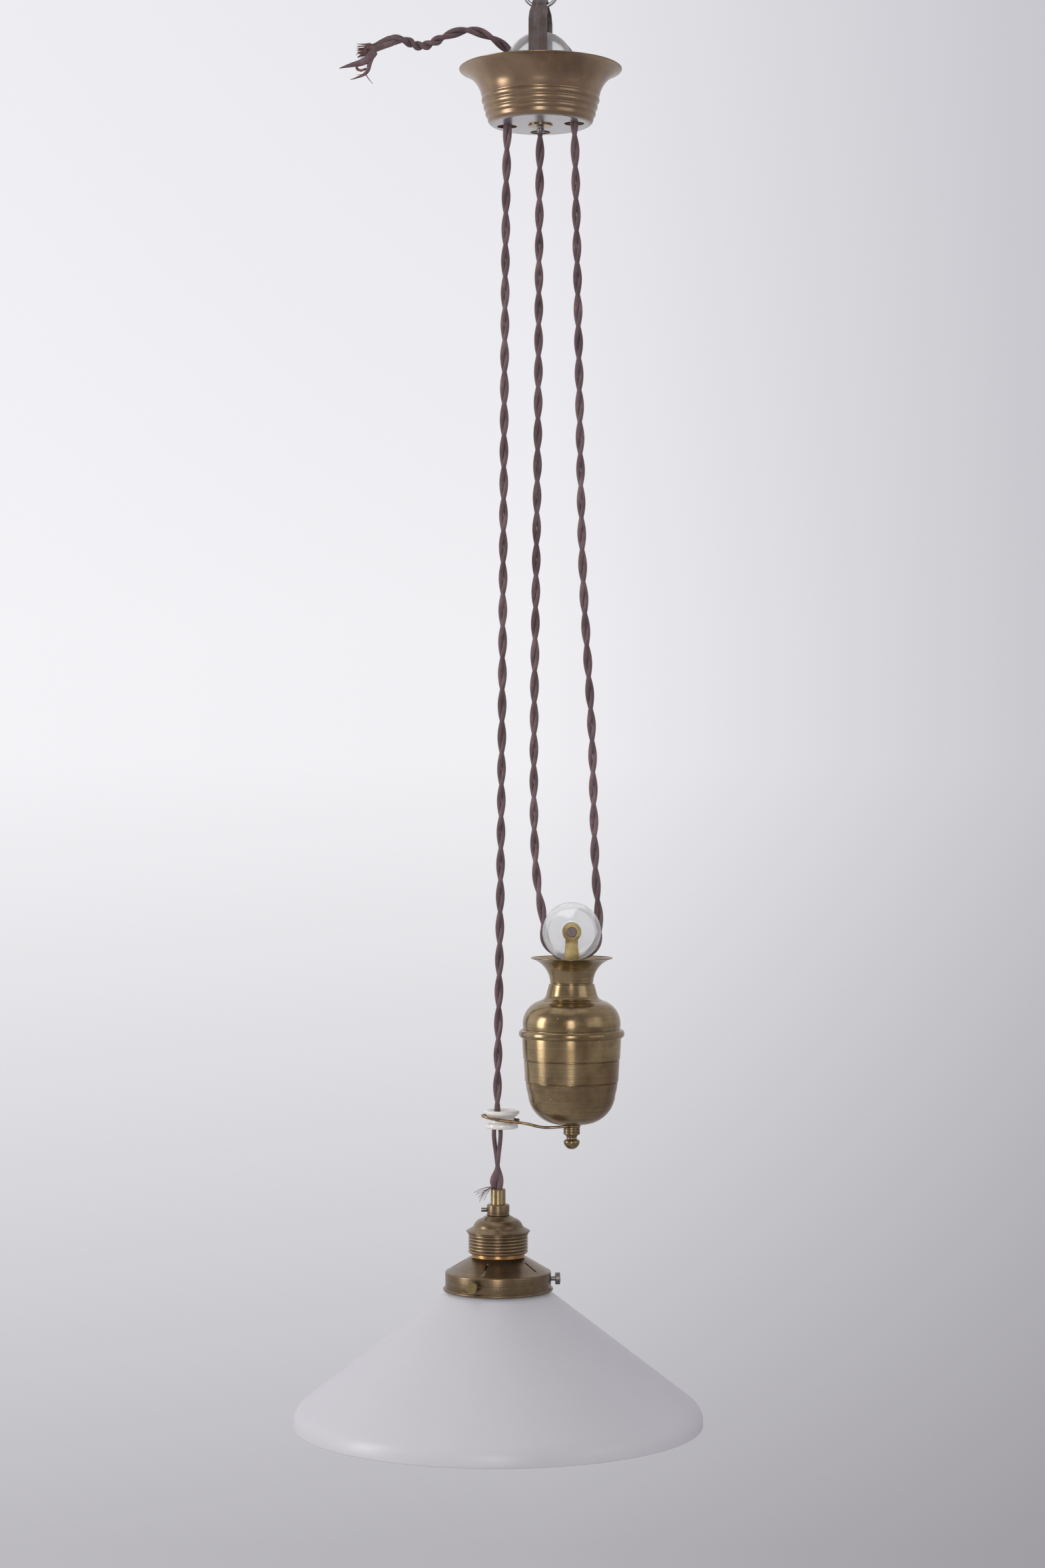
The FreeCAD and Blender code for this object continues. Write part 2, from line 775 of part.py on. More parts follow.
def pulley_fork():
    """A bent brass fork: two ears with round heads for the pin, joined by a drilled base."""
    body = new_body("pulley_fork")
    ear = new_sketch(body, "XZ_Plane")
    head, neck, foot = S.fork_head_radius, S.fork_neck_width / 2, S.fork_foot_width / 2
    base = -(S.fork_base_drop + S.fork_thickness)
    shoulder = -(head * head - neck * neck).root()
    outline(ear, [
        (-foot, base),
        (foot, base),
        (foot, -S.fork_flare_end),
        (neck, -S.fork_flare_start),
        (neck, shoulder, head),
        (head, 0, head),
        (0, head, head),
        (-head, 0, head),
        (-neck, shoulder),
        (-neck, -S.fork_flare_start),
        (-foot, -S.fork_flare_end),
    ])
    pad(body, ear, fork_outside * 2, both_ways=True)
    slot = new_sketch(body, "YZ_Plane")
    outline(slot, [
        (-fork_inside, -S.fork_base_drop),
        (fork_inside, -S.fork_base_drop),
        (fork_inside, head * 2),
        (-fork_inside, head * 2),
    ])
    cut_through(body, slot, both_ways=True)
    eyes = new_sketch(body, "XZ_Plane")
    circle(eyes, 0, 0, S.pin_radius + S.fixed_gap)
    cut_through(body, eyes, both_ways=True)
    rod_hole = new_sketch(body, "XY_Plane")
    circle(rod_hole, 0, 0, S.rod_radius + S.fixed_gap)
    cut_through(body, rod_hole)
    at_weight(body, -S.weight_drop)


def weight_pulley_set():
    wheel = pulley("weight_pulley", S.weight_pulley_radius, S.weight_pulley_width,
                   S.weight_hub_radius, S.weight_hub_width, S.pin_radius + S.running_gap)
    at_weight(wheel, -S.weight_drop)
    bolt = pin("weight_axle", S.pin_radius, S.pin_head_radius, S.pin_head_height,
               fork_outside, fork_outside + S.axle_nut_height + S.axle_tail)
    at_weight(bolt, -S.weight_drop)
    bolt_nut = nut("weight_axle_nut", S.axle_nut_radius, S.pin_radius + S.fixed_gap,
                   S.axle_nut_height, "XZ_Plane", reverse=True)
    place(bolt_nut, S.weight_x, S.weight_y + fork_outside, -S.weight_drop)
    cord = half_turn_of_cord("cord_under_weight_pulley", S.weight_pulley_radius, over=False)
    at_weight(cord, -S.weight_drop)


def tie_rod_set():
    """The rod that ties fork, spacer, filling, shells, guide wire and finial together."""
    rod_bottom = finial_top - S.finial_collar_height - S.finial_neck_height
    rod_top = fork_base + S.rod_nut_height + S.fixed_gap
    rod = turned("tie_rod", [
        (0, 0),
        (S.rod_radius, 0),
        (S.rod_radius, rod_top - rod_bottom),
        (0, rod_top - rod_bottom),
    ])
    at_weight(rod, rod_bottom)
    top_nut = nut("tie_rod_nut", S.rod_nut_radius, S.rod_radius + S.fixed_gap, S.rod_nut_height)
    at_weight(top_nut, fork_base)
    spacer_top = fork_base - S.fork_thickness
    spacer = turned("spacer_tube", [
        (S.rod_radius + S.fixed_gap, 0),
        (S.spacer_radius, 0),
        (S.spacer_radius, spacer_top - filling_top),
        (S.rod_radius + S.fixed_gap, spacer_top - filling_top),
    ])
    at_weight(spacer, filling_top)


def weight_cap():
    """The upper spun shell: trumpet mouth, neck, collar, ledge, round shoulder and bead."""
    wall = S.shell_wall
    shoulder_low = S.bead_height
    ledge_low = shoulder_low + S.shoulder_height
    collar_low = ledge_low + S.ledge_height
    neck_low = collar_low + S.collar_height
    mouth = neck_low + S.mouth_height
    flare = S.mouth_radius - S.neck_radius
    sweep = (flare * flare + S.mouth_height * S.mouth_height) / (2 * flare)
    rise = shoulder_radius - S.ledge_radius
    bead = S.bead_height / 2
    points = [
        (S.bowl_radius + S.fixed_gap, 0),
        (bead_radius - bead / 2, 0, bead),
        (bead_radius, bead, bead),
        (bead_radius - bead / 2, S.bead_height),
        (shoulder_radius, S.bead_height, rise * 1.35),
        (S.ledge_radius, ledge_low),
        (S.ledge_radius, ledge_low + wall / 2, -(S.ledge_height * 1.3)),
        (S.collar_radius, collar_low),
        (S.neck_radius + wall / 2, neck_low),
        (S.neck_radius, neck_low + wall / 2, -sweep),
        (S.mouth_radius, mouth, wall),
        (S.mouth_radius - wall, mouth + wall / 2, sweep + wall),
        (S.neck_radius - wall, neck_low + wall),
        (S.collar_radius - wall, collar_low),
        (S.ledge_radius - wall, ledge_low - wall, -(rise * 1.35)),
        (shoulder_radius - wall * 1.6, S.bead_height - wall),
        (S.bowl_radius + S.fixed_gap, S.bead_height - wall),
    ]
    cap = turned("weight_cap", points)
    at_weight(cap, bead_bottom)


def bowl_side(inset, height):
    """Radius of the bowl's tapering side at a height below the bead, less an inset."""
    slope = (S.bowl_radius - S.bowl_waist_radius) / S.bowl_side_height
    return S.bowl_radius - slope * height - inset


def weight_bowl():
    """The lower spun shell: two stepped bands, a gently tapering side and a round bottom."""
    wall, step = S.shell_wall, S.bowl_band_step
    total = S.bowl_height
    side_low = total - S.bowl_side_height
    first = total - S.bowl_band_height
    second = first - S.bowl_band_height
    top = total + S.bead_height - wall
    waist = bowl_side(step * 2, S.bowl_side_height)
    points = [
        (S.rod_radius + S.fixed_gap, 0),
        (S.bowl_foot_radius, 0, bowl_round(waist, side_low)),
        (waist, side_low),
        (bowl_side(step * 2, S.bowl_band_height * 2), second),
        (bowl_side(step, S.bowl_band_height * 2), second + step),
        (bowl_side(step, S.bowl_band_height), first),
        (bowl_side(0, S.bowl_band_height), first + step),
        (S.bowl_radius, total),
        (S.bowl_radius, top),
        (S.bowl_radius - wall * 1.5, top),
        (waist - wall, side_low, -bowl_round(waist - wall, side_low - wall)),
        (S.bowl_foot_radius, wall),
        (S.rod_radius + S.fixed_gap, wall),
    ]
    bowl = turned("weight_bowl", points)
    at_weight(bowl, bowl_bottom)


def bowl_round(radius, height):
    """Radius of the arc that turns the bowl's side, at a radius and height, into its foot."""
    run = radius - S.bowl_foot_radius
    return (run * run + height * height) / (2 * height) * 1.01


def weight_filling():
    """The cast iron filling, standing on the bowl's floor and drilled for the rod."""
    wall, gap = S.shell_wall, S.filling_gap
    side_low = S.bowl_height - S.bowl_side_height - wall
    waist = bowl_side(S.bowl_band_step * 2, S.bowl_side_height) - wall - gap
    top = filling_top - bowl_bottom - wall
    points = [
        (S.rod_radius + S.fixed_gap, 0),
        (S.bowl_foot_radius - gap, 0, bowl_round(waist, side_low)),
        (waist, side_low),
        (S.bowl_radius - wall * 1.5 - gap - S.bowl_band_step * 2, top),
        (S.rod_radius + S.fixed_gap, top),
    ]
    filling = turned("weight_filling", points)
    at_weight(filling, bowl_bottom + wall)


def finial():
    """The turned brass finial nut under the bowl: collar, neck and knob."""
    knob, neck = S.finial_knob_height, S.finial_neck_height
    total = knob + neck + S.finial_collar_height
    inside = S.rod_radius + S.fixed_gap
    points = [
        (0, 0),
        (S.finial_knob_radius * 0.35, 0, S.finial_knob_radius * 1.1),
        (S.finial_knob_radius, knob * 0.7),
        (S.finial_knob_radius, knob * 0.85),
        (S.finial_neck_radius, knob),
        (S.finial_neck_radius, knob + neck),
        (S.finial_collar_radius - neck / 4, knob + neck),
        (S.finial_collar_radius, knob + neck + neck / 4),
        (S.finial_collar_radius, total),
        (inside, total),
        (inside, knob - S.fixed_gap),
        (0, knob - S.fixed_gap),
    ]
    piece = turned("finial", points)
    at_weight(piece, finial_top - total)


def weight_parts():
    weight_pulley_set()
    pulley_fork()
    tie_rod_set()
    weight_cap()
    weight_bowl()
    weight_filling()
    finial()


# ------------------------------------------------------------ guide and eyelet

lamp_y = (S.pulley_radius - S.cord_inset) * S.bracket_turn.sine()
eyelet_level = bowl_bottom + S.eyelet_rise


def guide_eyelet():
    """The white porcelain bobbin that the lamp's flex slides through."""
    tall, rim = S.eyelet_height, S.eyelet_flange_height
    lower, upper = S.eyelet_lower_flange, S.eyelet_flange
    soft = rim / 3
    points = [
        (S.eyelet_bore + soft, 0),
        (lower - soft, 0, soft),
        (lower, soft),
        (lower, rim - soft, soft),
        (lower - soft, rim),
        (S.eyelet_waist, rim + soft),
        (S.eyelet_waist, tall - rim - soft),
        (upper - soft, tall - rim),
        (upper, tall - rim + soft),
        (upper, tall - soft, soft),
        (upper - soft, tall),
        (S.eyelet_bore + rim / 2, tall, rim / 2),
        (S.eyelet_bore, tall - rim / 2),
        (S.eyelet_bore, soft, soft),
    ]
    eyelet = turned("guide_eyelet", points)
    place(eyelet, S.eyelet_x, lamp_y, eyelet_level - S.eyelet_height / 2)


def guide_wire():
    """One brass wire: an eye clamped on the finial, a sagging arm, and a loose loop that lies
    in the eyelet's groove in front and behind and stands out past its left edge."""
    wire = S.wire_radius.number
    centre = FreeCAD.Vector(S.weight_x.number, S.weight_y.number, eye_level.number)
    middle = FreeCAD.Vector(S.eyelet_x.number, lamp_y.number, eyelet_level.number)
    side = S.eyelet_waist.number + wire + S.seat_gap.number
    far = S.eyelet_flange.number + wire + S.seat_gap.number
    lift = S.wire_loop_tilt.number
    eye = S.wire_eye_radius.number
    sag = S.wire_sag.number

    def on_eye(angle):
        turn = math.radians(angle)
        return centre + FreeCAD.Vector(eye * math.cos(turn), eye * math.sin(turn), 0)

    arm = on_eye(-110)
    gap = arm.x - (middle.x + side)
    front = middle.y - side
    points = [
        arm,
        FreeCAD.Vector(arm.x - gap * 0.26, arm.y, arm.z - sag * 0.5),
        FreeCAD.Vector(arm.x - gap * 0.53, arm.y + (front - arm.y) * 0.35, arm.z - sag * 0.6),
        FreeCAD.Vector(arm.x - gap * 0.8, arm.y + (front - arm.y) * 0.8, (arm.z + middle.z) / 2),
        middle + FreeCAD.Vector(side * 0.5, -side, -lift * 0.2),
        middle + FreeCAD.Vector(-side * 0.45, -side, lift * 0.25),
        middle + FreeCAD.Vector(-far, -side * 0.55, lift),
        middle + FreeCAD.Vector(-far, side * 0.55, lift),
        middle + FreeCAD.Vector(-side * 0.45, side, lift * 0.25),
        middle + FreeCAD.Vector(side * 0.5, side, -lift * 0.2),
        middle + FreeCAD.Vector(side * 1.25, side * 0.35, -lift * 0.4),
    ]
    solid, _, radii = swept(points, wire)
    ring = Part.makeTorus(eye, wire, centre)
    piece = document.addObject("Part::Feature", "guide_wire")
    piece.Shape = solid.fuse(ring)
    piece.Label = "guide_wire"
    NODES.append(piece)
    print("guide_wire radii", [round(r, 1) for r in radii])


# ------------------------------------------------------------------------ lamp

nipple_top = eyelet_level - S.eyelet_height / 2 - S.lamp_clearance
grip_top = nipple_top - S.nipple_above
cap_top = grip_top - S.grip_height
cap_bottom = cap_top - S.cap_height
sleeve_bottom = cap_bottom - S.sleeve_height
cone_top = sleeve_bottom - S.gallery_neck_height
band_top = cone_top - S.gallery_cone_height
gallery_bottom = band_top - S.gallery_band_height - S.gallery_lip_height
thumb_level = band_top - S.thumb_height


def at_lamp(piece, z, **turn):
    place(piece, S.lamp_x, lamp_y, z, **turn)


def lampholder():
    nipple = turned("cord_nipple", [
        (S.nipple_bore, 0),
        (S.nipple_radius, 0),
        (S.nipple_radius, S.nipple_height - S.holder_wall),
        (S.nipple_radius - S.holder_wall / 2, S.nipple_height),
        (S.nipple_bore, S.nipple_height),
    ])
    at_lamp(nipple, nipple_top - S.nipple_height)
    edge = S.holder_wall
    grip = turned("grip_collar", [
        (S.nipple_radius + S.fixed_gap, 0),
        (S.grip_radius - edge, 0, edge),
        (S.grip_radius, edge),
        (S.grip_radius, S.grip_height - edge, edge),
        (S.grip_radius - edge, S.grip_height),
        (S.nipple_radius + S.fixed_gap, S.grip_height),
    ])
    bore = new_sketch(grip, "YZ_Plane")
    circle(bore, 0, S.grip_height / 2, S.grip_screw_radius + S.fixed_gap)
    cut_through(grip, bore)
    at_lamp(grip, cap_top)
    screw = document.addObject("Part::Cylinder", "grip_screw")
    screw.Label = "grip_screw"
    NODES.append(screw)
    bind(screw, "Radius", S.grip_screw_radius)
    bind(screw, "Height", S.grip_screw_reach - S.nipple_radius - S.fixed_gap)
    place(screw, S.lamp_x - S.grip_screw_reach, lamp_y, cap_top + S.grip_height / 2, turn=90, axis=(0, 1, 0))
    holder_cap()
    holder_inside()
    sleeve()


def holder_cap():
    """The domed brass cap over the porcelain, with a rolled rim."""
    wall, high = S.holder_wall, S.cap_height
    dome_low = high - S.cap_dome_height
    step = S.cap_dome_radius - S.cap_top_radius
    curve = step * 1.1
    points = [
        (S.sleeve_radius - wall, 0),
        (S.cap_rim_radius, 0),
        (S.cap_rim_radius, dome_low - wall, wall),
        (S.cap_rim_radius - wall, dome_low),
        (S.cap_dome_radius, dome_low, curve),
        (S.cap_top_radius, high - wall / 2),
        (S.cap_top_radius - wall, high),
        (S.nipple_radius + S.fixed_gap, high),
        (S.nipple_radius + S.fixed_gap, high - wall),
        (S.cap_top_radius - wall, high - wall * 1.5, -curve),
        (S.cap_dome_radius - wall, dome_low - wall),
        (S.sleeve_radius - wall, dome_low - wall),
    ]
    cap = turned("holder_cap", points)
    at_lamp(cap, cap_bottom)


def holder_inside():
    """The porcelain insert, clamped between the cap and the gallery's neck, with a skirt
    round the threaded shell; the shell and the centre contact under it; the terminals."""
    gap, wall = S.fixed_gap, S.holder_wall
    shell_out = S.shell_bore + wall
    skirt = S.insert_skirt_height
    flange = S.sleeve_radius - wall - S.seat_gap
    flange_top = skirt + S.cap_height - S.cap_dome_height - wall
    seat = skirt + wall
    top = seat + S.insert_height
    insert = turned("porcelain_insert", [
        (shell_out + gap, 0),
        (S.insert_skirt_radius, 0),
        (S.insert_skirt_radius, skirt),
        (flange, skirt),
        (flange, flange_top),
        (S.insert_radius, flange_top),
        (S.insert_radius, top - wall, wall),
        (S.insert_radius - wall, top),
        (S.insert_bore, top),
        (S.insert_bore, seat),
        (shell_out + gap, seat),
    ])
    at_lamp(insert, cap_bottom - skirt)
    seat_level = cap_bottom + wall
    lug = S.contact_radius + wall * 2
    groove = wall * 0.4
    bore_end = S.shell_length - wall - groove * 2
    shell = turned("thread_shell", [
        (S.shell_bore, 0),
        (shell_out, 0),
        (shell_out, S.shell_length),
        (lug, S.shell_length),
        (lug, S.shell_length - wall),
        (S.shell_bore + groove, S.shell_length - wall),
        (S.shell_bore + groove, bore_end),
        (S.shell_bore, bore_end),
    ])
    at_lamp(shell, seat_level - S.shell_length)
    contact = turned("centre_contact", [
        (0, 0),
        (S.contact_radius / 2, 0, S.contact_radius),
        (S.contact_radius, S.contact_height * 0.6),
        (S.contact_radius, S.contact_height),
        (0, S.contact_height),
    ])
    at_lamp(contact, seat_level - S.contact_height)
    terminals(seat_level + S.insert_height)


def terminals(level):
    """Two brass terminal screws in the top of the porcelain, one each side of the flex."""
    screws = document.addObject("Part::MultiFuse", "terminal_screws")
    heads = []
    for hand in (1, -1):
        head = document.addObject("Part::Cylinder", "terminal_head")
        bind(head, "Radius", S.terminal_radius)
        bind(head, "Height", S.terminal_height)
        place(head, S.lamp_x + hand * S.terminal_offset, lamp_y, level)
        heads.append(head)
    screws.Shapes = heads
    screws.Label = "terminal_screws"
    NODES.append(screws)


def sleeve():
    """The ridged brass ring that screws over the gallery's neck."""
    tall, deep = S.sleeve_height, S.sleeve_ridge
    inside = S.gallery_neck_radius + S.fixed_gap
    points = [(inside, 0), (S.sleeve_radius - deep * 2, 0, deep * 2), (S.sleeve_radius, deep * 2)]
    first = deep * 2 - S.sleeve_pitch / 4
    for ridge in range(SLEEVE_RIDGES - 1):
        low = first + (ridge + 1) * S.sleeve_pitch
        points.append((S.sleeve_radius, low - S.sleeve_pitch / 4))
        points.append((S.sleeve_radius - deep, low))
        points.append((S.sleeve_radius, low + S.sleeve_pitch / 4))
    points += [(S.sleeve_radius, tall), (inside, tall)]
    ring = turned("holder_sleeve", points)
    at_lamp(ring, sleeve_bottom)


def gallery():
    """The brass shade carrier: neck, slotted cone, band with three screw holes, rolled lip."""
    wall, lip = S.holder_wall, S.gallery_lip
    neck, radius = S.gallery_neck_radius, S.gallery_radius
    lip_top = S.gallery_lip_height
    band = lip_top + S.gallery_band_height
    cone = band + S.gallery_cone_height
    top = cone + S.gallery_neck_height + S.sleeve_height
    half = lip_top / 2
    points = [
        (radius - wall, 0),
        (radius + lip / 2, 0, half),
        (radius + lip / 2 + half, half, half),
        (radius + lip / 2, lip_top),
        (radius, lip_top),
        (radius, band - wall, wall),
        (radius - wall, band),
        (neck + wall, cone),
        (neck, cone + wall),
        (neck, top),
        (neck - wall, top),
        (neck - wall, cone),
        (radius - wall * 1.6, band - wall),
        (radius - wall, band - wall * 1.6),
    ]
    body = turned("gallery", points)
    slots = new_sketch(body, "XY_Plane")
    half_slot, start = S.slot_width / 2, S.slot_start
    outline(slots, spun(S.slot_azimuth - S.thumb_azimuth, [
        (start, -half_slot),
        (start + S.slot_length, -half_slot, half_slot),
        (start + S.slot_length + half_slot, 0, half_slot),
        (start + S.slot_length, half_slot),
        (start, half_slot, half_slot),
        (start - half_slot, 0, half_slot),
    ]))
    vents = cut_through(body, slots, reverse=True)
    polar(body, vents, GALLERY_SLOTS)
    document.recompute()
    holes = new_sketch(body, "YZ_Plane")
    circle(holes, 0, band - S.thumb_height, S.thumb_radius + S.fixed_gap)
    screws = cut_through(body, holes, reverse=True)
    polar(body, screws, THUMBSCREWS)
    at_lamp(body, gallery_bottom, turn=S.thumb_azimuth)


def thumbscrews():
    """Three knurl-headed screws whose tips reach under the shade's bead."""
    tip = S.shade_neck_radius + S.seat_gap
    neck = S.gallery_radius + S.thumb_neck
    end = neck + S.thumb_head_height
    for number in range(THUMBSCREWS):
        azimuth = 360 / THUMBSCREWS * number + S.thumb_azimuth
        edge = S.thumb_radius / 4
        body = turned(f"thumbscrew_{number + 1}", [
            (0, 0),
            (S.thumb_radius - edge, 0),
            (S.thumb_radius, edge),
            (S.thumb_radius, neck - tip),
            (S.thumb_head_radius - edge, neck - tip, edge),
            (S.thumb_head_radius, neck - tip + edge),
            (S.thumb_head_radius, end - tip - edge, edge),
            (S.thumb_head_radius - edge, end - tip),
            (0, end - tip),
        ])
        angle = FreeCAD.Rotation(FreeCAD.Vector(0, 0, 1), azimuth.number)
        lying = FreeCAD.Rotation(FreeCAD.Vector(0, 1, 0), 90)
        spot = FreeCAD.Vector(S.lamp_x.number, lamp_y.number, thumb_level.number)
        body.Placement = FreeCAD.Placement(spot + angle.multVec(FreeCAD.Vector(tip.number, 0, 0)),
                                           angle.multiply(lying))
        body.setExpression("Placement.Base.x", (S.lamp_x + tip * azimuth.cosine()).text)
        body.setExpression("Placement.Base.y", (lamp_y + tip * azimuth.sine()).text)
        body.setExpression("Placement.Base.z", thumb_level.text)


def shade():
    """The opal glass coolie shade: beaded neck, straight cone and a turned-down edge."""
    wall, edge, bead = S.shade_wall, S.shade_edge_height, S.shade_bead_height
    cone_low = edge + S.shade_turn_drop
    neck_low = cone_low + S.shade_cone_drop
    top = neck_low + S.shade_neck_height
    brim = S.shade_radius - S.shade_turn
    slope = S.shade_cone_drop / (brim - S.shade_neck_radius)
    tilt = (1 + slope * slope).root()
    bend = S.shade_turn * 3
    points = [
        (S.shade_radius - wall, wall / 2, wall / 2),
        (S.shade_radius - wall / 2, 0, wall / 2),
        (S.shade_radius, wall / 2),
        (S.shade_radius, edge, bend),
        (brim, cone_low),
        (S.shade_neck_radius, neck_low),
        (S.shade_neck_radius, top - bead),
        (S.shade_bead_radius, top - bead + bead / 4),
        (S.shade_bead_radius, top - bead / 4),
        (S.shade_bead_radius - bead / 2, top),
        (S.shade_neck_radius - wall, top),
        (S.shade_neck_radius - wall, neck_low - wall * (tilt - slope)),
        (brim - wall * slope / tilt, cone_low - wall / tilt, -(bend - wall)),
        (S.shade_radius - wall, edge - wall / 2),
    ]
    body = turned("shade", points)
    at_lamp(body, thumb_level + S.thumb_radius + S.seat_gap + bead - top)


def lamp_parts():
    lampholder()
    gallery()
    thumbscrews()
    shade()


# ----------------------------------------------------------------------- flex

def vector(x, y, z):
    return FreeCAD.Vector(Size.of(x).number, Size.of(y).number, Size.of(z).number)


def flex_runs():
    """The taut stretches of the lift flex, from pulley to lamp, weight and knot."""
    gap = S.seat_gap
    radius = S.cord_radius.number
    track = S.pulley_radius - S.cord_inset
    side = track * S.bracket_turn.cosine()
    weight_track = S.weight_pulley_radius - S.cord_inset
    top = -S.pulley_drop - gap
    low = -S.weight_drop + gap
    straight_tube("lamp_cord_run", vector(-side, lamp_y, top),
                  vector(S.lamp_x, lamp_y, nipple_top + gap), radius)
    straight_tube("weight_cord_run", vector(side, -lamp_y, top),
                  vector(S.weight_x + weight_track, S.weight_y, low), radius)
    straight_tube("anchor_cord_run", vector(0, S.cup_hole_circle, cup_bottom + S.cup_wall - gap),
                  vector(S.weight_x - weight_track, S.weight_y, low), radius)
    end_length = nipple_top - cap_bottom - S.holder_wall - gap
    straight_tube("lamp_cord_end", vector(S.lamp_x, lamp_y, nipple_top),
                  vector(S.lamp_x, lamp_y, nipple_top - end_length), radius)


# The stub of flex that comes up out of the cup and curls away to the left, chosen by hand
# to follow the real one, in millimetres.
TAIL_ROUTE = [
    (0.0, 22.6, -79.2),
    (-0.8, 22.9, -67.5),
    (-7.0, 21.8, -52.5),
    (-17.0, 18.8, -39.0),
    (-30.5, 15.0, -29.0),
    (-44.5, 11.5, -24.6),
    (-57.0, 8.5, -26.4),
    (-68.0, 6.0, -31.0),
    (-79.3, 4.0, -34.2),
    (-90.5, 2.0, -33.0),
    (-101.5, 0.0, -33.8),
    (-111.8, -2.2, -39.4),
]
CORE_ROUTES = [
    [(-112.7, -2.3, -38.2), (-117.4, -3.3, -40.8), (-124.5, -4.6, -41.6)],
    [(-111.4, -2.3, -40.8), (-116.7, -3.4, -43.8), (-125.0, -4.4, -47.6), (-133.0, -4.2, -53.0)],
]


def supply_tail():
    points = [FreeCAD.Vector(*point) for point in TAIL_ROUTE]
    tube("supply_tail", points, S.cord_radius.number)
    cores = []
    for route in CORE_ROUTES:
        cores.append(swept([FreeCAD.Vector(*point) for point in route], S.core_radius.number)[0])
    piece = document.addObject("Part::Feature", "tail_cores")
    piece.Shape = Part.makeCompound(cores)
    piece.Label = "tail_cores"
    NODES.append(piece)


# ---------------------------------------------------------------------- build

ceiling_end()
weight_parts()
guide_eyelet()
guide_wire()
lamp_parts()
flex_runs()
supply_tail()
document.recompute()

for thing in document.Objects:
    if "Invalid" in thing.State or "Error" in thing.State:
        raise RuntimeError(f"{thing.Label} failed: {thing.State}")
for node in NODES:
    if node.Shape.isNull() or not node.Shape.isValid() or not node.Shape.Solids:
        raise RuntimeError(f"{node.Label} is not a valid solid")
for node in NODES:
    node.Shape.exportStep(f"parts/{node.Label}.step")
print(len(NODES), "pieces,", round(sum(node.Shape.Volume for node in NODES)), "mm3 in all")
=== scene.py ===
"""Looks of the rise and fall pendant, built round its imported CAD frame."""

import json
import math
import random

import bmesh
import bpy
from bpy.props import FloatProperty, FloatVectorProperty, PointerProperty
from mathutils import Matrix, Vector

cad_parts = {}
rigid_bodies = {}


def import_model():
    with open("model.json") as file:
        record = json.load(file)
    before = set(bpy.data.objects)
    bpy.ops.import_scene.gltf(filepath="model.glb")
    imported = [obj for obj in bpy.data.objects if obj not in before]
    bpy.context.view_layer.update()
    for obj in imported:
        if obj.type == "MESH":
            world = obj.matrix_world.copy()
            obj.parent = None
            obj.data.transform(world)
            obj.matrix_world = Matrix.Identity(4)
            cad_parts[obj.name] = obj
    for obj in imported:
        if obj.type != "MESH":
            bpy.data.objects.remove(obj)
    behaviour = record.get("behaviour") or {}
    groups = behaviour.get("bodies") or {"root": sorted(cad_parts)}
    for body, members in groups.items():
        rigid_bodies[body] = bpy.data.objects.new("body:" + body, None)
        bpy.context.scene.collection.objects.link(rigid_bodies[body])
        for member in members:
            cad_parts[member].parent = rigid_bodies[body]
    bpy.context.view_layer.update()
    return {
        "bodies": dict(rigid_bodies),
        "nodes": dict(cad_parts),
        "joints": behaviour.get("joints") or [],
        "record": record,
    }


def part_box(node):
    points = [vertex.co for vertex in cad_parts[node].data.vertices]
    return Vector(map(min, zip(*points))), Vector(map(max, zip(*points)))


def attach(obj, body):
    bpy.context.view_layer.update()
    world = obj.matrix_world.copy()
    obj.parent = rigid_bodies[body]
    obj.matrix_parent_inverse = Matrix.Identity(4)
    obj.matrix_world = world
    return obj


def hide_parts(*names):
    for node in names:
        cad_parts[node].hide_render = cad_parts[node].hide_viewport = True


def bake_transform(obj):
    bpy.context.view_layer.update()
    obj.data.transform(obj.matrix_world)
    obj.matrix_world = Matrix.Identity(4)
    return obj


bl_info = {
    "name": "Rise and Fall Pendant",
    "version": (1, 0, 0),
    "blender": (4, 5, 0),
    "location": "3D View > Sidebar > Pendant",
    "description": "Builds the looks of a counterweighted ceiling pendant",
    "category": "Add Mesh",
}

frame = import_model()
NODES = frame["nodes"]

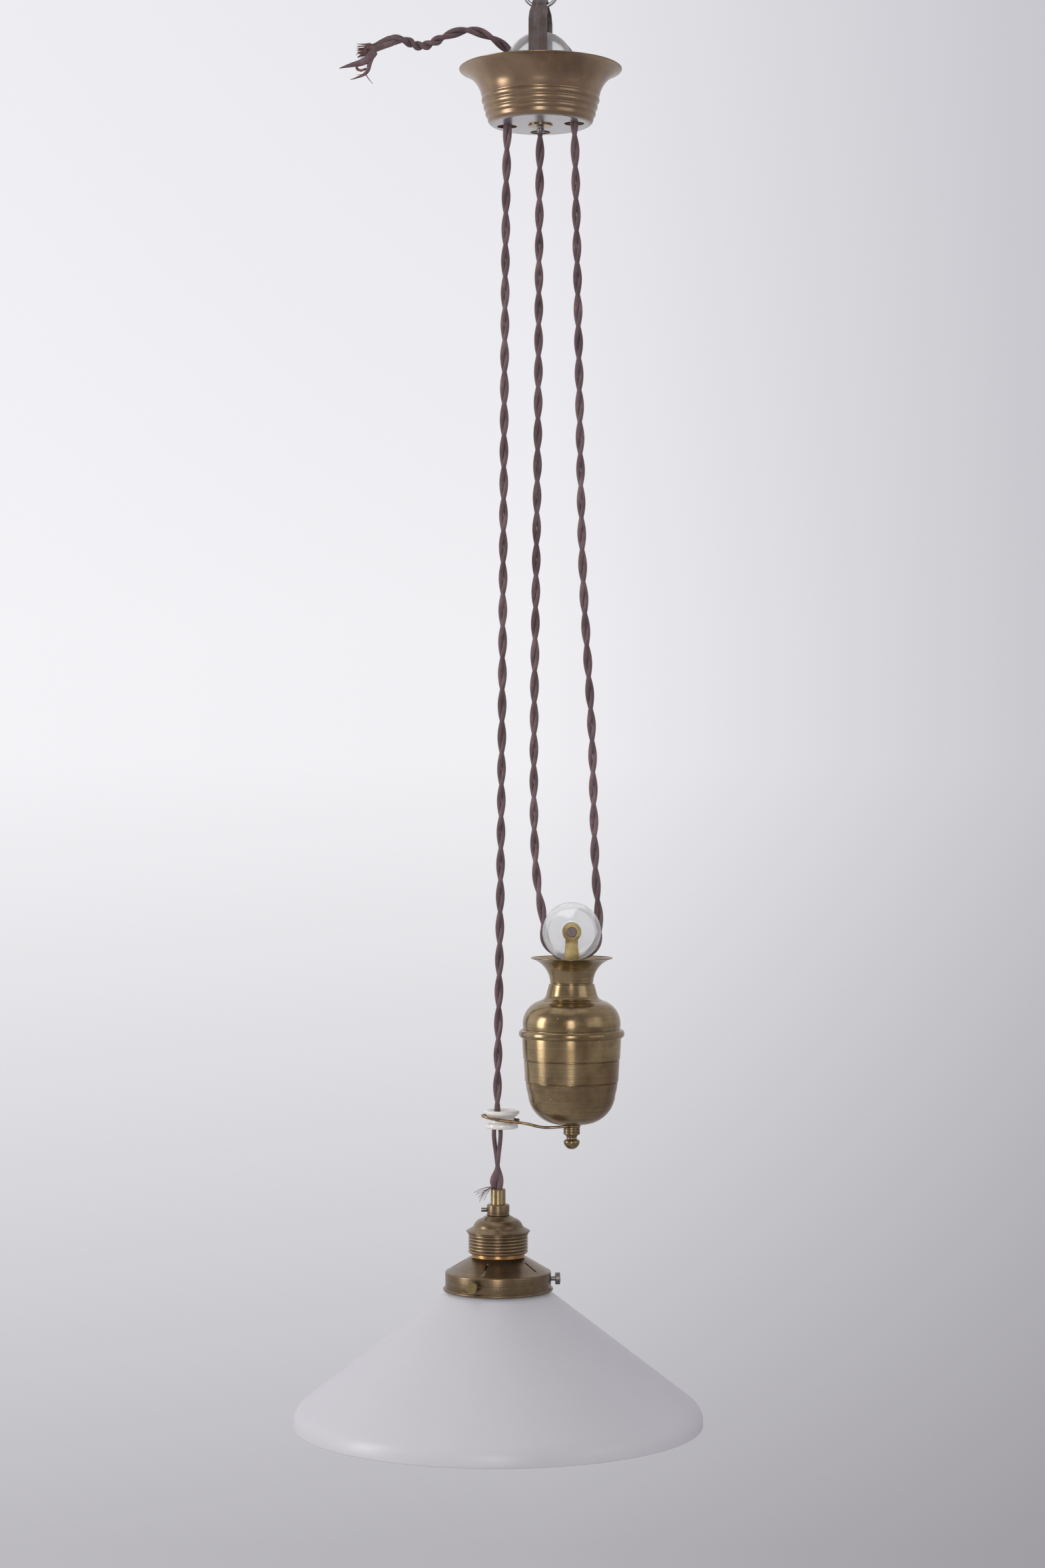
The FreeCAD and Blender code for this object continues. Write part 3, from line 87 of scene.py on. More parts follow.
# Control points of the flex, in metres: up from the lamp, over the ceiling pulley,
# down round the counterweight's pulley and up to the knot in the cup.
FLEX_ROUTE = [
    (-0.0280, 0.00457, -0.8195), (-0.0280, 0.00457, -0.8060), (-0.0283, 0.00457, -0.7890),
    (-0.0286, 0.00457, -0.7600), (-0.0286, 0.00457, -0.7300), (-0.0276, 0.00457, -0.6700),
    (-0.0266, 0.00457, -0.6000), (-0.0256, 0.00457, -0.5000), (-0.0247, 0.00457, -0.3800),
    (-0.0238, 0.00457, -0.2500), (-0.0228, 0.00457, -0.1300), (-0.0218, 0.00457, -0.0880),
    (-0.02085, 0.00443, -0.0606), (-0.02085, 0.00443, -0.04264), (-0.00864, 0.00183, -0.03020),
    (0.00864, -0.00183, -0.03020), (0.02085, -0.00443, -0.04264), (0.02095, -0.00442, -0.0606),
    (0.0224, -0.00440, -0.0900), (0.0236, -0.00420, -0.1500), (0.0252, -0.00400, -0.2400),
    (0.0265, -0.00370, -0.3300), (0.0278, -0.00340, -0.3900), (0.0312, -0.00310, -0.4450),
    (0.0340, -0.00290, -0.4900), (0.0350, -0.00260, -0.5400), (0.0361, -0.00240, -0.5850),
    (0.0387, -0.00230, -0.6137), (0.0388, -0.00230, -0.62888), (0.02808, -0.00230, -0.63960),
    (0.01292, -0.00230, -0.63960), (0.00220, -0.00230, -0.62888), (0.0021, -0.00230, -0.6137),
    (-0.0028, -0.00120, -0.5880), (-0.0046, 0.00030, -0.5500), (-0.0042, 0.00420, -0.4700),
    (-0.0028, 0.00900, -0.3800), (-0.0014, 0.01430, -0.2700), (-0.0008, 0.01930, -0.1600),
    (-0.0003, 0.02180, -0.1050), (0.0000, 0.02260, -0.0850),
]
# Where the flex passes from one piece of the frame to the next, counted along the route.
LAMP_RUN_TOP = (-0.02085, 0.00443, -0.0515)
WEIGHT_RUN_TOP = (0.02085, -0.00443, -0.0515)
WEIGHT_RUN_FOOT = (0.0388, -0.0023, -0.6213)
ANCHOR_RUN_FOOT = (0.0022, -0.0023, -0.6213)
ANCHOR_RUN_TOP = (0.0, 0.0226, -0.0885)
# The flex lies on the ceiling pulley above this height. The lamp's run is left of LAMP_SIDE,
# its strands part below the eyelet, and they cross above the nipple.
PULLEY_LEVEL = -0.0535
LAMP_SIDE = -0.02
PARTED_LEVEL = -0.735
STRANDS_CROSS = (-0.0284, 0.00457, -0.7766)
KNOT_CENTRE = (0.0, 0.0226, -0.0840)

# Control points of the supply tail, from the knot in the cup out over its rim.
TAIL_ROUTE = [
    (0.0000, 0.0226, -0.0792), (-0.0008, 0.0229, -0.0675), (-0.0070, 0.0218, -0.0525),
    (-0.0170, 0.0188, -0.0388), (-0.0302, 0.0150, -0.0288), (-0.0450, 0.0115, -0.0232),
    (-0.0565, 0.0088, -0.0258), (-0.0660, 0.0065, -0.0306), (-0.0790, 0.0040, -0.0380),
    (-0.0918, 0.0018, -0.0313), (-0.1020, -0.0004, -0.0346), (-0.1120, -0.0022, -0.0404),
]
# How tightly the tail is twisted as far left as each place.
TAIL_TWIST = (-0.0500, 1.35), (-0.0665, 1.4), (-0.0750, 2.8), (-0.0880, 3.8), (-0.0986, 2.0)
# The loose ends of its two strands, three long threads of its braid and its bared wire.
END_ROUTES = [
    [(-0.1100, -0.0020, -0.0415), (-0.1125, -0.0034, -0.0455), (-0.1175, -0.0044, -0.0492),
     (-0.1255, -0.0046, -0.0508), (-0.1328, -0.0042, -0.0529)],
    [(-0.1100, -0.0020, -0.0420), (-0.1126, -0.0030, -0.0480), (-0.1136, -0.0044, -0.0555),
     (-0.1195, -0.0042, -0.0586), (-0.1254, -0.0040, -0.0603)],
]
THREAD_ROUTES = [
    [(-0.1150, -0.0044, -0.0570), (-0.1130, -0.0044, -0.0605), (-0.1104, -0.0040, -0.0630)],
    [(-0.1140, -0.0040, -0.0540), (-0.1160, -0.0046, -0.0575), (-0.1210, -0.0044, -0.0570)],
    [(-0.1122, -0.0020, -0.0400), (-0.1150, -0.0030, -0.0445), (-0.1190, -0.0030, -0.0490),
     (-0.1215, -0.0030, -0.0540)],
]
WIRE_END = [
    (-0.1150, -0.0040, -0.0530), (-0.1175, -0.0046, -0.0545), (-0.1205, -0.0046, -0.0540),
    (-0.1215, -0.0044, -0.0520),
]

# The wire that carries the eyelet, from its eye on the finial round the porcelain.
WIRE_ROUTE = [
    (0.01876, -0.00709, -0.7490), (0.0097, -0.0071, -0.7498), (0.0002, -0.0062, -0.7500),
    (-0.0094, -0.0052, -0.7473), (-0.0210, -0.0048, -0.7461), (-0.0298, -0.0048, -0.7450),
    (-0.0384, -0.0005, -0.7432), (-0.0384, 0.0097, -0.7432), (-0.0298, 0.0139, -0.7450),
    (-0.0210, 0.0139, -0.7461), (-0.0140, 0.0078, -0.7466),
]
WIRE_EYE = (0.0205, -0.0023, -0.7490)

CAMERA_PLACE = (-0.0119, -2.046, -0.524)
FOCAL_LENGTH, SENSOR_WIDTH = 71.2, 36.0  # in millimetres
# The wall's painted light and shade from left to right, at its foot, its middle and its top.
WALL_PAINTED_LIGHT = (
    ((0.50, 0.49, 0.515), (0.45, 0.44, 0.465), (0.345, 0.335, 0.36)),
    ((0.90, 0.895, 0.925), (0.875, 0.87, 0.898), (0.575, 0.57, 0.605)),
    ((0.855, 0.85, 0.885), (0.80, 0.795, 0.83), (0.57, 0.565, 0.605)),
)
# Each light's name, place, the height it is aimed at, size, power, colour and shine.
LIGHTS = (
    ("window_left", (-2.45, -0.52, -0.25), -0.5, (0.75, 1.7), 24.0, (1.0, 0.99, 0.98), 1.0),
    ("softbox_front", (-0.12, -2.9, -0.25), -0.5, (0.66, 1.9), 18.5, (1.0, 0.985, 0.96), 1.0),
    ("fill_right", (2.5, -1.7, 0.1), -0.7, (2.0, 2.2), 11.0, (0.98, 0.98, 1.0), 0.25),
    ("ceiling_bounce", (-0.3, -0.3, 2.0), -0.6, (2.5, 2.5), 9.0, (0.97, 0.98, 1.0), 1.0),
)

MM = 0.001


def length(name, description, default, low, high):
    return FloatProperty(
        name=name, description=description, default=default, min=low, max=high,
        subtype="DISTANCE", unit="LENGTH",
    )


def colour(name, description, default):
    return FloatVectorProperty(
        name=name, description=description, default=default, min=0.0, max=1.0, subtype="COLOR",
    )


class PendantSizes(bpy.types.PropertyGroup):
    """The sizes that a user would change, in metres"""

    strand_radius: length(
        "Strand radius", "Half the thickness of one of the flex's two strands",
        0.00148, 0.0005, 0.004)
    twist_pitch: length(
        "Twist pitch", "Length of flex in which a strand goes once round", 0.042, 0.01, 0.2)
    tail_pitch: length("Tail pitch", "The same for the looser supply tail", 0.046, 0.01, 0.2)
    wall_distance: length(
        "Wall distance", "How far behind the lamp the wall stands", 0.75, 0.2, 5.0)
    floor_level: length("Floor level", "Height of the floor, below the ring", -2.40, -4.0, -1.0)


class PendantFinishes(bpy.types.PropertyGroup):
    """The colours that a user would change"""

    brass: colour("Aged brass", "Colour of the spun brass", (0.355, 0.262, 0.142))
    brass_tarnish: colour("Tarnish", "Colour of the tarnish on the brass", (0.100, 0.068, 0.040))
    fine_brass: colour(
        "Yellow brass", "Colour of the small turned and stamped brass parts", (0.44, 0.33, 0.165))
    steel: colour("Strap steel", "Colour of the grey-brown strap", (0.165, 0.135, 0.135))
    flex: colour("Flex braid", "Colour of the textile braid", (0.195, 0.130, 0.139))
    opal: colour("Opal glass", "Colour of the shade", (0.70, 0.69, 0.725))
    porcelain: colour("Porcelain", "Colour of the eyelet and the insert", (0.90, 0.88, 0.835))
    wall: colour("Wall", "Colour of the wall and floor", (0.72, 0.715, 0.745))


def sizes():
    return bpy.context.scene.pendant_sizes


def finishes():
    return bpy.context.scene.pendant_finishes


def centre_of(node):
    low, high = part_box(node)
    return (low + high) / 2


def foot_of(node):
    """The middle of a turned node's lowest end."""
    low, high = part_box(node)
    return Vector(((low.x + high.x) / 2, (low.y + high.y) / 2, low.z))


# ---------------------------------------------------------------- materials


class NodeTree:
    """The nodes of a material or a world, added from left to right."""

    def __init__(self, tree):
        self.nodes, self.links = tree.nodes, tree.links

    def add(self, kind, inputs=None, **settings):
        node = self.nodes.new(kind)
        for key, value in settings.items():
            setattr(node, key, value)
        for key, value in (inputs or {}).items():
            self.feed(node.inputs[key], value)
        return node

    def feed(self, socket, value):
        """Joins the socket to another node's output, or sets it to a value."""
        if isinstance(value, bpy.types.NodeSocket):
            self.links.new(value, socket)
        else:
            socket.default_value = value

    def place(self, kind="Object"):
        return self.add("ShaderNodeTexCoord").outputs[kind]

    def part(self, axis, place=None):
        """One coordinate of a place."""
        return self.add("ShaderNodeSeparateXYZ", {"Vector": place or self.place()}).outputs[axis]

    def stretch(self, x, y, z):
        return self.add(
            "ShaderNodeMapping", {"Vector": self.place(), "Scale": (x, y, z)}).outputs["Vector"]

    def noise(self, scale, detail=4.0, rough=0.55, vector=None, distort=0.0):
        return self.add("ShaderNodeTexNoise", {
            "Vector": vector or self.place(), "Scale": scale, "Detail": detail,
            "Roughness": rough, "Distortion": distort,
        }).outputs["Fac"]

    def ramp(self, fac, *stops):
        """Colours, or shares as greys, between the stops' positions."""
        node = self.add("ShaderNodeValToRGB", {"Fac": fac})
        band = node.color_ramp
        while len(band.elements) < len(stops):
            band.elements.new(0.5)
        for element, (position, shade) in zip(band.elements, stops):
            element.position = position
            element.color = (*(shade if isinstance(shade, tuple) else (shade,) * 3), 1.0)
        return node.outputs["Color"]

    def mix(self, fac, low, high, blend="MIX"):
        node = self.add("ShaderNodeMix", data_type="RGBA", blend_type=blend)
        self.feed(node.inputs["Factor"], fac)
        for key, value in (("A", low), ("B", high)):
            socket = [s for s in node.inputs if s.name == key and s.type == "RGBA"][0]
            self.feed(socket, (*value, 1.0) if isinstance(value, tuple) else value)
        return [s for s in node.outputs if s.type == "RGBA"][0]

    def number(self, operation, *values):
        return self.add("ShaderNodeMath", dict(enumerate(values)), operation=operation).outputs[0]

    def scaled(self, value, low=0.0, high=1.0, source=(0.0, 1.0)):
        """The value carried over from the range of source to low and high."""
        return self.add("ShaderNodeMapRange", {
            "Value": value, "From Min": source[0], "From Max": source[1],
            "To Min": low, "To Max": high,
        }).outputs["Result"]

    def blend(self, fac, first, second):
        """A shader between two shaders."""
        return self.add("ShaderNodeMixShader", {0: fac, 1: first, 2: second}).outputs["Shader"]


class Finish(NodeTree):
    """A material and the patterns on its shader. Underscores in its sockets' names are spaces."""

    def __init__(self, name, **sockets):
        self.material = bpy.data.materials.new(name)
        self.material.use_nodes = True
        super().__init__(self.material.node_tree)
        self.shader = self.nodes["Principled BSDF"]
        for socket, value in sockets.items():
            self.shader.inputs[socket.replace("_", " ")].default_value = value

    def colour(self, value):
        self.feed(self.shader.inputs["Base Color"], value)

    def roughness(self, value):
        self.feed(self.shader.inputs["Roughness"], value)

    def bump(self, height, distance, strength):
        node = self.add(
            "ShaderNodeBump", {"Height": height, "Distance": distance, "Strength": strength})
        self.feed(self.shader.inputs["Normal"], node.outputs["Normal"])

    def worn(self, marks, stops, rough, relief=None):
        """Colour, roughness and relief that all follow the same marks."""
        self.colour(self.ramp(marks, *stops))
        self.roughness(self.scaled(marks, *rough))
        if relief:
            self.bump(marks, *relief)
        return self.material


def tinted(shade, factor):
    """The colour made lighter or darker, by one factor or one for each of its three parts."""
    factors = factor if isinstance(factor, tuple) else (factor,) * 3
    return tuple(min(1.0, c * f) for c, f in zip(shade, factors))


def spun_brass(depth=1.0, dull=0.0, lined=0.8, dented=0.10, stained=1.15,
               painted_floor_reflection=None, grooves=None, painted_reflection_ring=None):
    """Old spun brass: warm, with brown tarnish in clouds, fine turning lines and pale specks.

    The first five say how dark, dull, scored, dented and stained it is. painted_floor_reflection
    and painted_reflection_ring are heights, below and round which pale and red reflections are
    painted. grooves is the lowest groove's height and the grooves' pitch; painted shade darkens
    them."""
    f = Finish("spun_brass", Metallic=0.86)
    base, tarnish = (tinted(c, depth) for c in (finishes().brass, finishes().brass_tarnish))
    speck_grey, groove_shade, reflection_red = (0.42, 0.38, 0.33), (0.022, 0.013, 0.009), (0.40, 0.21, 0.085)
    patches = f.ramp(
        f.noise(20.0, 6.0, 0.62, distort=0.5),
        (0.34, tinted(base, (0.66, 0.58, 0.54))), (0.50, tinted(base, 0.97)),
        (0.70, tinted(base, 1.18)))
    stain = f.ramp(
        f.noise(46.0, 6.0, 0.72), (0.48, 0.0), (0.62, 0.34 * stained), (0.78, 0.70 * stained))
    lines = f.noise(1.0, 3.0, 0.6, f.stretch(14.0, 14.0, 1500.0))
    scores = f.ramp(lines, (0.38, 0.30 * lined), (0.55, 0.0))
    shown = f.mix(scores, f.mix(stain, patches, tarnish), tarnish)
    cells = f.add("ShaderNodeTexVoronoi", {"Vector": f.place(), "Scale": 150.0})
    specks = f.number(
        "MULTIPLY", f.ramp(cells.outputs["Distance"], (0.04, 1.0), (0.12, 0.0)),
        f.ramp(f.noise(60.0, 2.0, 0.5), (0.56, 0.0), (0.64, 0.85)))
    shown = f.mix(specks, shown, speck_grey)
    level = f.part("Z")
    # Painted shade: a near-black brown laid in the grooves between the sleeve's ridges.
    if grooves is not None:
        lowest, pitch = grooves
        turn = f.number("FRACT", f.number("DIVIDE", f.number("SUBTRACT", level, lowest), pitch))
        groove_shade_mask = f.ramp(turn, (0.0, 0.85), (0.22, 0.0), (0.90, 0.0), (1.0, 0.85))
        shown = f.mix(groove_shade_mask, shown, groove_shade)
    # Painted reflection: a warm red ring round the gallery's neck, just under the sleeve.
    if painted_reflection_ring is not None:
        inside = f.number("COMPARE", level, painted_reflection_ring, 0.0016)
        shown = f.mix(f.number("MULTIPLY", inside, 0.75), shown, reflection_red)
    # Painted reflection: the underside of the cup's floor turned a pale, silvery grey.
    if painted_floor_reflection is not None:
        under = f.scaled(level, 1.0, 0.0, source=(painted_floor_reflection, painted_floor_reflection + 0.0012))
        painted_reflection_tone = f.mix(stain, (0.40, 0.375, 0.375), (0.22, 0.185, 0.17))
        shown = f.mix(under, f.mix(0.16, shown, (0.30, 0.26, 0.26)), painted_reflection_tone)
    f.colour(shown)
    rough = f.scaled(f.noise(30.0, 2.5, 0.5), 0.15 + dull, 0.31 + dull)
    f.roughness(f.number("ADD", rough, f.number("MULTIPLY", specks, 0.3)))
    dents = f.number("MULTIPLY", f.noise(38.0, 2.0), 0.9)
    f.bump(f.number("ADD", dents, f.number("MULTIPLY", lines, 0.10 * lined)), 0.00025, dented)
    return f.material


def cup_brass():
    """The cup's brass, greyer, with a painted pale grey reflection under its floor."""
    return spun_brass(
        depth=(0.90, 0.80, 0.79), dull=0.04, lined=0.10, dented=0.02, stained=0.5,
        painted_floor_reflection=foot_of("ceiling_cup").z)


def lamp_brass():
    """The same spun brass, browner, as the lampholder has it."""
    return spun_brass(depth=(0.70, 0.68, 0.74), dull=0.07, lined=0.3, dented=0.03, stained=0.9)


def sleeve_brass():
    """The same again, with painted shade in the grooves between the sleeve's ridges."""
    return spun_brass(
        depth=(0.82, 0.79, 0.86), dull=0.08, lined=0.0, dented=0.01, stained=0.3,
        grooves=(foot_of("holder_sleeve").z + 0.0022, 0.00215))


def gallery_brass():
    """The gallery's brass, with a painted, redder reflection ring round its neck."""
    return spun_brass(
        depth=(0.60, 0.57, 0.62), dull=0.06, lined=0.4, dented=0.03, stained=1.0,
        painted_reflection_ring=foot_of("holder_sleeve").z - 0.0010)


def finial_brass():
    """The same spun brass, duller, under a film of grime."""
    return spun_brass(depth=0.88, dull=0.06)


def fork_brass():
    """Dull stamped brass, with brown and green stains."""
    f = Finish("fork_brass", Metallic=0.9)
    marks = f.noise(90.0, 5.0, 0.65)
    shown = f.ramp(
        marks, (0.34, (0.13, 0.095, 0.045)), (0.50, (0.29, 0.22, 0.10)),
        (0.75, (0.37, 0.29, 0.145)))
    green = f.ramp(f.noise(55.0, 4.0, 0.6), (0.54, 0.0), (0.70, 0.55))
    f.colour(f.mix(green, shown, (0.15, 0.155, 0.085)))
    f.roughness(f.scaled(marks, 0.52, 0.34))
    f.bump(f.noise(160.0, 3.0), 0.0001, 0.12)
    return f.material


def yellow_brass():
    """Small stamped and turned brass, yellower, with dark handling marks."""
    f = Finish("yellow_brass", Metallic=1.0)
    base = finishes().fine_brass
    f.colour(f.ramp(
        f.noise(120.0, 5.0, 0.65),
        (0.36, tinted(base, 0.50)), (0.50, tinted(base, 0.92)), (0.74, tinted(base, 1.12))))
    f.roughness(f.scaled(f.noise(150.0, 3.0), 0.20, 0.36))
    f.bump(f.noise(160.0, 3.0), 0.0001, 0.12)
    return f.material


def wire_brass():
    """Drawn brass wire, browned."""
    f = Finish("wire_brass", Metallic=1.0)
    stops = (0.34, (0.13, 0.08, 0.045)), (0.52, (0.34, 0.235, 0.13)), (0.75, (0.48, 0.36, 0.21))
    return f.worn(f.noise(150.0, 4.0, 0.6), stops, (0.42, 0.26))


def satin_steel():
    """Worn grey screws and nuts, with brown in random patches."""
    f = Finish("satin_steel", Metallic=1.0)
    stops = (0.34, (0.13, 0.105, 0.09)), (0.50, (0.27, 0.25, 0.24)), (0.74, (0.42, 0.40, 0.39))
    return f.worn(f.noise(210.0, 4.0, 0.6), stops, (0.40, 0.22), (0.00006, 0.2))


def strap_steel():
    """Dull grey-brown steel with long rolling marks."""
    f = Finish("strap_steel", Metallic=0.85)
    base = finishes().steel
    grain = f.noise(1.0, 5.0, 0.6, f.stretch(420.0, 420.0, 60.0))
    rust = f.ramp(f.noise(120.0, 4.0, 0.6), (0.48, 0.0), (0.70, 0.75))
    rolled = f.ramp(grain, (0.3, tinted(base, 0.7)), (0.7, tinted(base, 1.35)))
    f.colour(f.mix(rust, rolled, (0.15, 0.085, 0.055)))
    f.roughness(f.scaled(grain, 0.36, 0.58))
    f.bump(grain, 0.00006, 0.2)
    return f.material


def bright_steel():
    """Bright wire with faint drawing marks."""
    f = Finish("bright_steel", Metallic=1.0)
    stops = (0.3, (0.42, 0.42, 0.44)), (0.7, (0.70, 0.70, 0.72))
    return f.worn(f.noise(260.0, 3.0, 0.5), stops, (0.12, 0.26), (0.00004, 0.15))


def bare_wire():
    """Thin bare copper, browned by age."""
    f = Finish("bare_wire", Metallic=1.0)
    stops = (0.35, (0.10, 0.055, 0.045)), (0.7, (0.42, 0.25, 0.18))
    return f.worn(f.noise(500.0, 4.0), stops, (0.28, 0.5))


def cast_iron():
    """Rough black casting skin."""
    f = Finish("iron_skin", Metallic=0.6)
    stops = (0.3, (0.03, 0.028, 0.026)), (0.7, (0.10, 0.085, 0.075))
    return f.worn(f.noise(240.0, 6.0, 0.7), stops, (0.6, 0.85), (0.0006, 0.5))


def clear_glass():
    """Pressed clear glass, slightly wavy and milky with age."""
    f = Finish(
        "pulley_glass", IOR=1.05, Transmission_Weight=0.70, Coat_Weight=0.8, Coat_Roughness=0.06)
    stops = (0.3, (0.94, 0.945, 0.955)), (0.7, (0.99, 0.99, 1.0))
    return f.worn(f.noise(70.0, 2.0, 0.5), stops, (0.16, 0.26), (0.0002, 0.08))


def opal_glass():
    """White opal glass: milky depth under a satin skin, with a little dust."""
    f = Finish("opal_glass", IOR=1.5, Specular_IOR_Level=0.4)
    base = finishes().opal
    f.colour(f.ramp(f.noise(7.0, 3.0, 0.5), (0.35, tinted(base, 0.97)), (0.65, tuple(base))))
    f.roughness(f.scaled(f.noise(380.0, 3.0, 0.6), 0.28, 0.36))
    f.bump(f.noise(14.0, 2.0, 0.5), 0.0006, 0.06)
    return f.material


def glazed_porcelain():
    """White glazed porcelain with faint crazing and a grimy tint."""
    f = Finish("glazed_porcelain", IOR=1.5, Coat_Weight=0.4, Coat_Roughness=0.05)
    base = finishes().porcelain
    f.bump(f.noise(90.0, 2.0), 0.0001, 0.10)
    stops = (0.28, tinted(base, 0.82)), (0.46, tuple(base))
    return f.worn(f.noise(130.0, 4.0, 0.6), stops, (0.12, 0.30))


def braid_height(f, around, along):
    """The diamond weave of the braid, from the strand's own UV map."""
    u_turns = f.number("MULTIPLY", f.part("X", f.place("UV")), along)
    v_turns = f.number("MULTIPLY", f.part("Y", f.place("UV")), around)
    waves = [
        f.number("SINE", f.number("MULTIPLY", f.number(both, u_turns, v_turns), 2 * math.pi))
        for both in ("ADD", "SUBTRACT")
    ]
    return f.number("MAXIMUM", *waves)


def textile_flex():
    """Dark brown textile braid over each strand, with painted shade in the low threads of its
    weave.
    """
    f = Finish(
        "textile_flex", Sheen_Weight=0.18, Sheen_Roughness=0.45,
        Sheen_Tint=(0.72, 0.62, 0.62, 1.0), Specular_IOR_Level=0.25)
    base = finishes().flex
    weave = braid_height(f, 8.0, 1050.0)
    wear = f.noise(70.0, 5.0, 0.65)
    dyed = f.ramp(wear, (0.30, tinted(base, 0.62)), (0.52, tuple(base)), (0.75, tinted(base, 1.7)))
    # Painted shade: the weave's low threads darkened to 0.86 of the braid's colour.
    f.colour(f.mix(1.0, dyed, f.ramp(weave, (0.0, 0.86), (0.75, 1.0)), "MULTIPLY"))
    f.roughness(f.scaled(wear, 0.62, 0.82))
    f.bump(weave, 0.00012, 0.30)
    return f.material


def frayed():
    """Loose threads of the braid, faded reddish brown."""
    f = Finish("frayed_braid", Roughness=0.85, Sheen_Weight=0.4)
    f.colour(f.ramp(
        f.noise(300.0, 3.0), (0.35, (0.10, 0.045, 0.038)), (0.65, (0.27, 0.15, 0.125))))
    return f.material


# The record's slots, and the looks that some pieces have instead of their slot's.
FINISH_MAKERS = {
    "aged_brass": spun_brass, "cup_brass": cup_brass, "lamp_brass": lamp_brass,
    "sleeve_brass": sleeve_brass, "gallery_brass": gallery_brass, "finial_brass": finial_brass,
    "fork_brass": fork_brass, "fine_brass": yellow_brass, "wire_brass": wire_brass,
    "grey_steel": satin_steel, "dark_steel": strap_steel, "bright_steel": bright_steel,
    "bare_copper": bare_wire, "cast_iron": cast_iron, "clear_glass": clear_glass,
    "opal_glass": opal_glass, "porcelain": glazed_porcelain, "brown_flex": textile_flex,
    "frayed": frayed,
}
MADE = {}


def coat(thing, look):
    """Gives a piece its material, which is made the first time it is asked for."""
    if look not in MADE:
        MADE[look] = FINISH_MAKERS[look]()
    thing.data.materials.clear()
    thing.data.materials.append(MADE[look])


def settle(thing, body, slot, *replaced, look=None):
    """Gives a finished piece its material, its body and the nodes it stands for."""
    coat(thing, look or slot)
    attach(thing, body)
    if replaced:
        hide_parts(*replaced)


# ---------------------------------------------------------------- cords


def spline_points(label, control, resolution=24):
    """Points read from a NURBS spline with these control points."""
    curve = bpy.data.curves.new(label, "CURVE")
    curve.dimensions = "3D"
    spline = curve.splines.new("NURBS")
    spline.points.add(len(control) - 1)
    for point, place in zip(spline.points, control):
        point.co = (*place, 1.0)
    spline.order_u = 3
    spline.use_endpoint_u = True
    spline.resolution_u = resolution
    holder = bpy.data.objects.new(label, curve)
    mesh = bpy.data.meshes.new_from_object(holder)
    points = [v.co.copy() for v in mesh.vertices]
    bpy.data.meshes.remove(mesh)
    bpy.data.objects.remove(holder)
    bpy.data.curves.remove(curve)
    return points


def evenly(points, step):
    """The same line with its points a step apart."""
    spaced, carry = [points[0]], 0.0
    for a, b in zip(points, points[1:]):
        span = (b - a).length
        while span and carry + span >= step:
            a = a.lerp(b, (step - carry) / span)
            spaced.append(a.copy())
            span, carry = (b - a).length, 0.0
        carry += span
    return spaced


def frames(points):
    """A tangent and two cross directions at each point, turning as little as possible."""
    found, across = [], None
    for i in range(len(points)):
        ahead = (points[min(i + 1, len(points) - 1)] - points[max(i - 1, 0)]).normalized()
        if across is None:
            across = Vector((1, 0, 0)) if abs(ahead.x) < 0.9 else Vector((0, 1, 0))
        across = (across - ahead * across.dot(ahead)).normalized()
        found.append((ahead, across, ahead.cross(across)))
    return found


def beside(frame, turn):
    """The direction across a line that lies a turn round it."""
    _, across, up = frame
    return across * math.cos(turn) + up * math.sin(turn)


def strand_lines(points, pitch, spread, anchor=0, angle=0.0):
    """The two strands' centre lines, laid round the route. spread gives each strand's
    distance from a point and the tightness of the twist there. At the point numbered
    anchor the first strand lies at angle."""
    step = (points[1] - points[0]).length
    shares = [spread(point) for point in points]
    turns = [0.0]
    for _, _, tightness in shares[1:]:
        turns.append(turns[-1] + 2 * math.pi * step / pitch * tightness)
    shift = angle - turns[anchor]
    first, second = [], []
    for point, across, turn, (one, two, _) in zip(points, frames(points), turns, shares):
        side = beside(across, turn + shift)
        first.append(point + side * one)
        second.append(point - side * two)
    return first, second


def strand_mesh(label, lines, radius, around=10):
    """A mesh of round strands along lines, closed at both ends, with a UV map along them.
    The radius is a number, or a function of the share of the way and the point there."""
    shape = bmesh.new()
    uv = shape.loops.layers.uv.new("Braid")
    for line in lines:
        rings, along = [], 0.0
        for i, (point, across) in enumerate(zip(line, frames(line))):
            if i:
                along += (point - line[i - 1]).length
            thick = radius(i / (len(line) - 1), point) if callable(radius) else radius
            rings.append((along, [
                shape.verts.new(point + beside(across, 2 * math.pi * k / around) * thick)
                for k in range(around)
            ]))
        for (start, low), (end, high) in zip(rings, rings[1:]):
            for k in range(around):
                n = (k + 1) % around
                face = shape.faces.new((low[k], low[n], high[n], high[k]))
                face.smooth = True
                corners = (start, k), (start, k + 1), (end, k + 1), (end, k)
                for loop, (length_along, turn) in zip(face.loops, corners):
                    loop[uv].uv = length_along, turn / around
        shape.faces.new(rings[0][1][::-1])
        shape.faces.new(rings[-1][1])
    mesh = bpy.data.meshes.new(label)
    shape.to_mesh(mesh)
    shape.free()
    thing = bpy.data.objects.new(label, mesh)
    bpy.context.scene.collection.objects.link(thing)
    return thing


def loose_thread(label, start, way, bend=Vector(), droop=Vector(), resolution=6):
    """A thread that leaves start by a way, with a bend at its middle and a drooping end."""
    return spline_points(label, [start, start + way * 0.5 + bend, start + way + droop], resolution)


def nearest(points, place):
    place = Vector(place)
    return min(range(len(points)), key=lambda i: (points[i] - place).length)


def near(height, level, reach):
    """1 at the level, falling smoothly to 0 at its reach above and below."""
    share = max(0.0, 1 - abs(height - level) / reach)
    return share * share * (3 - 2 * share)


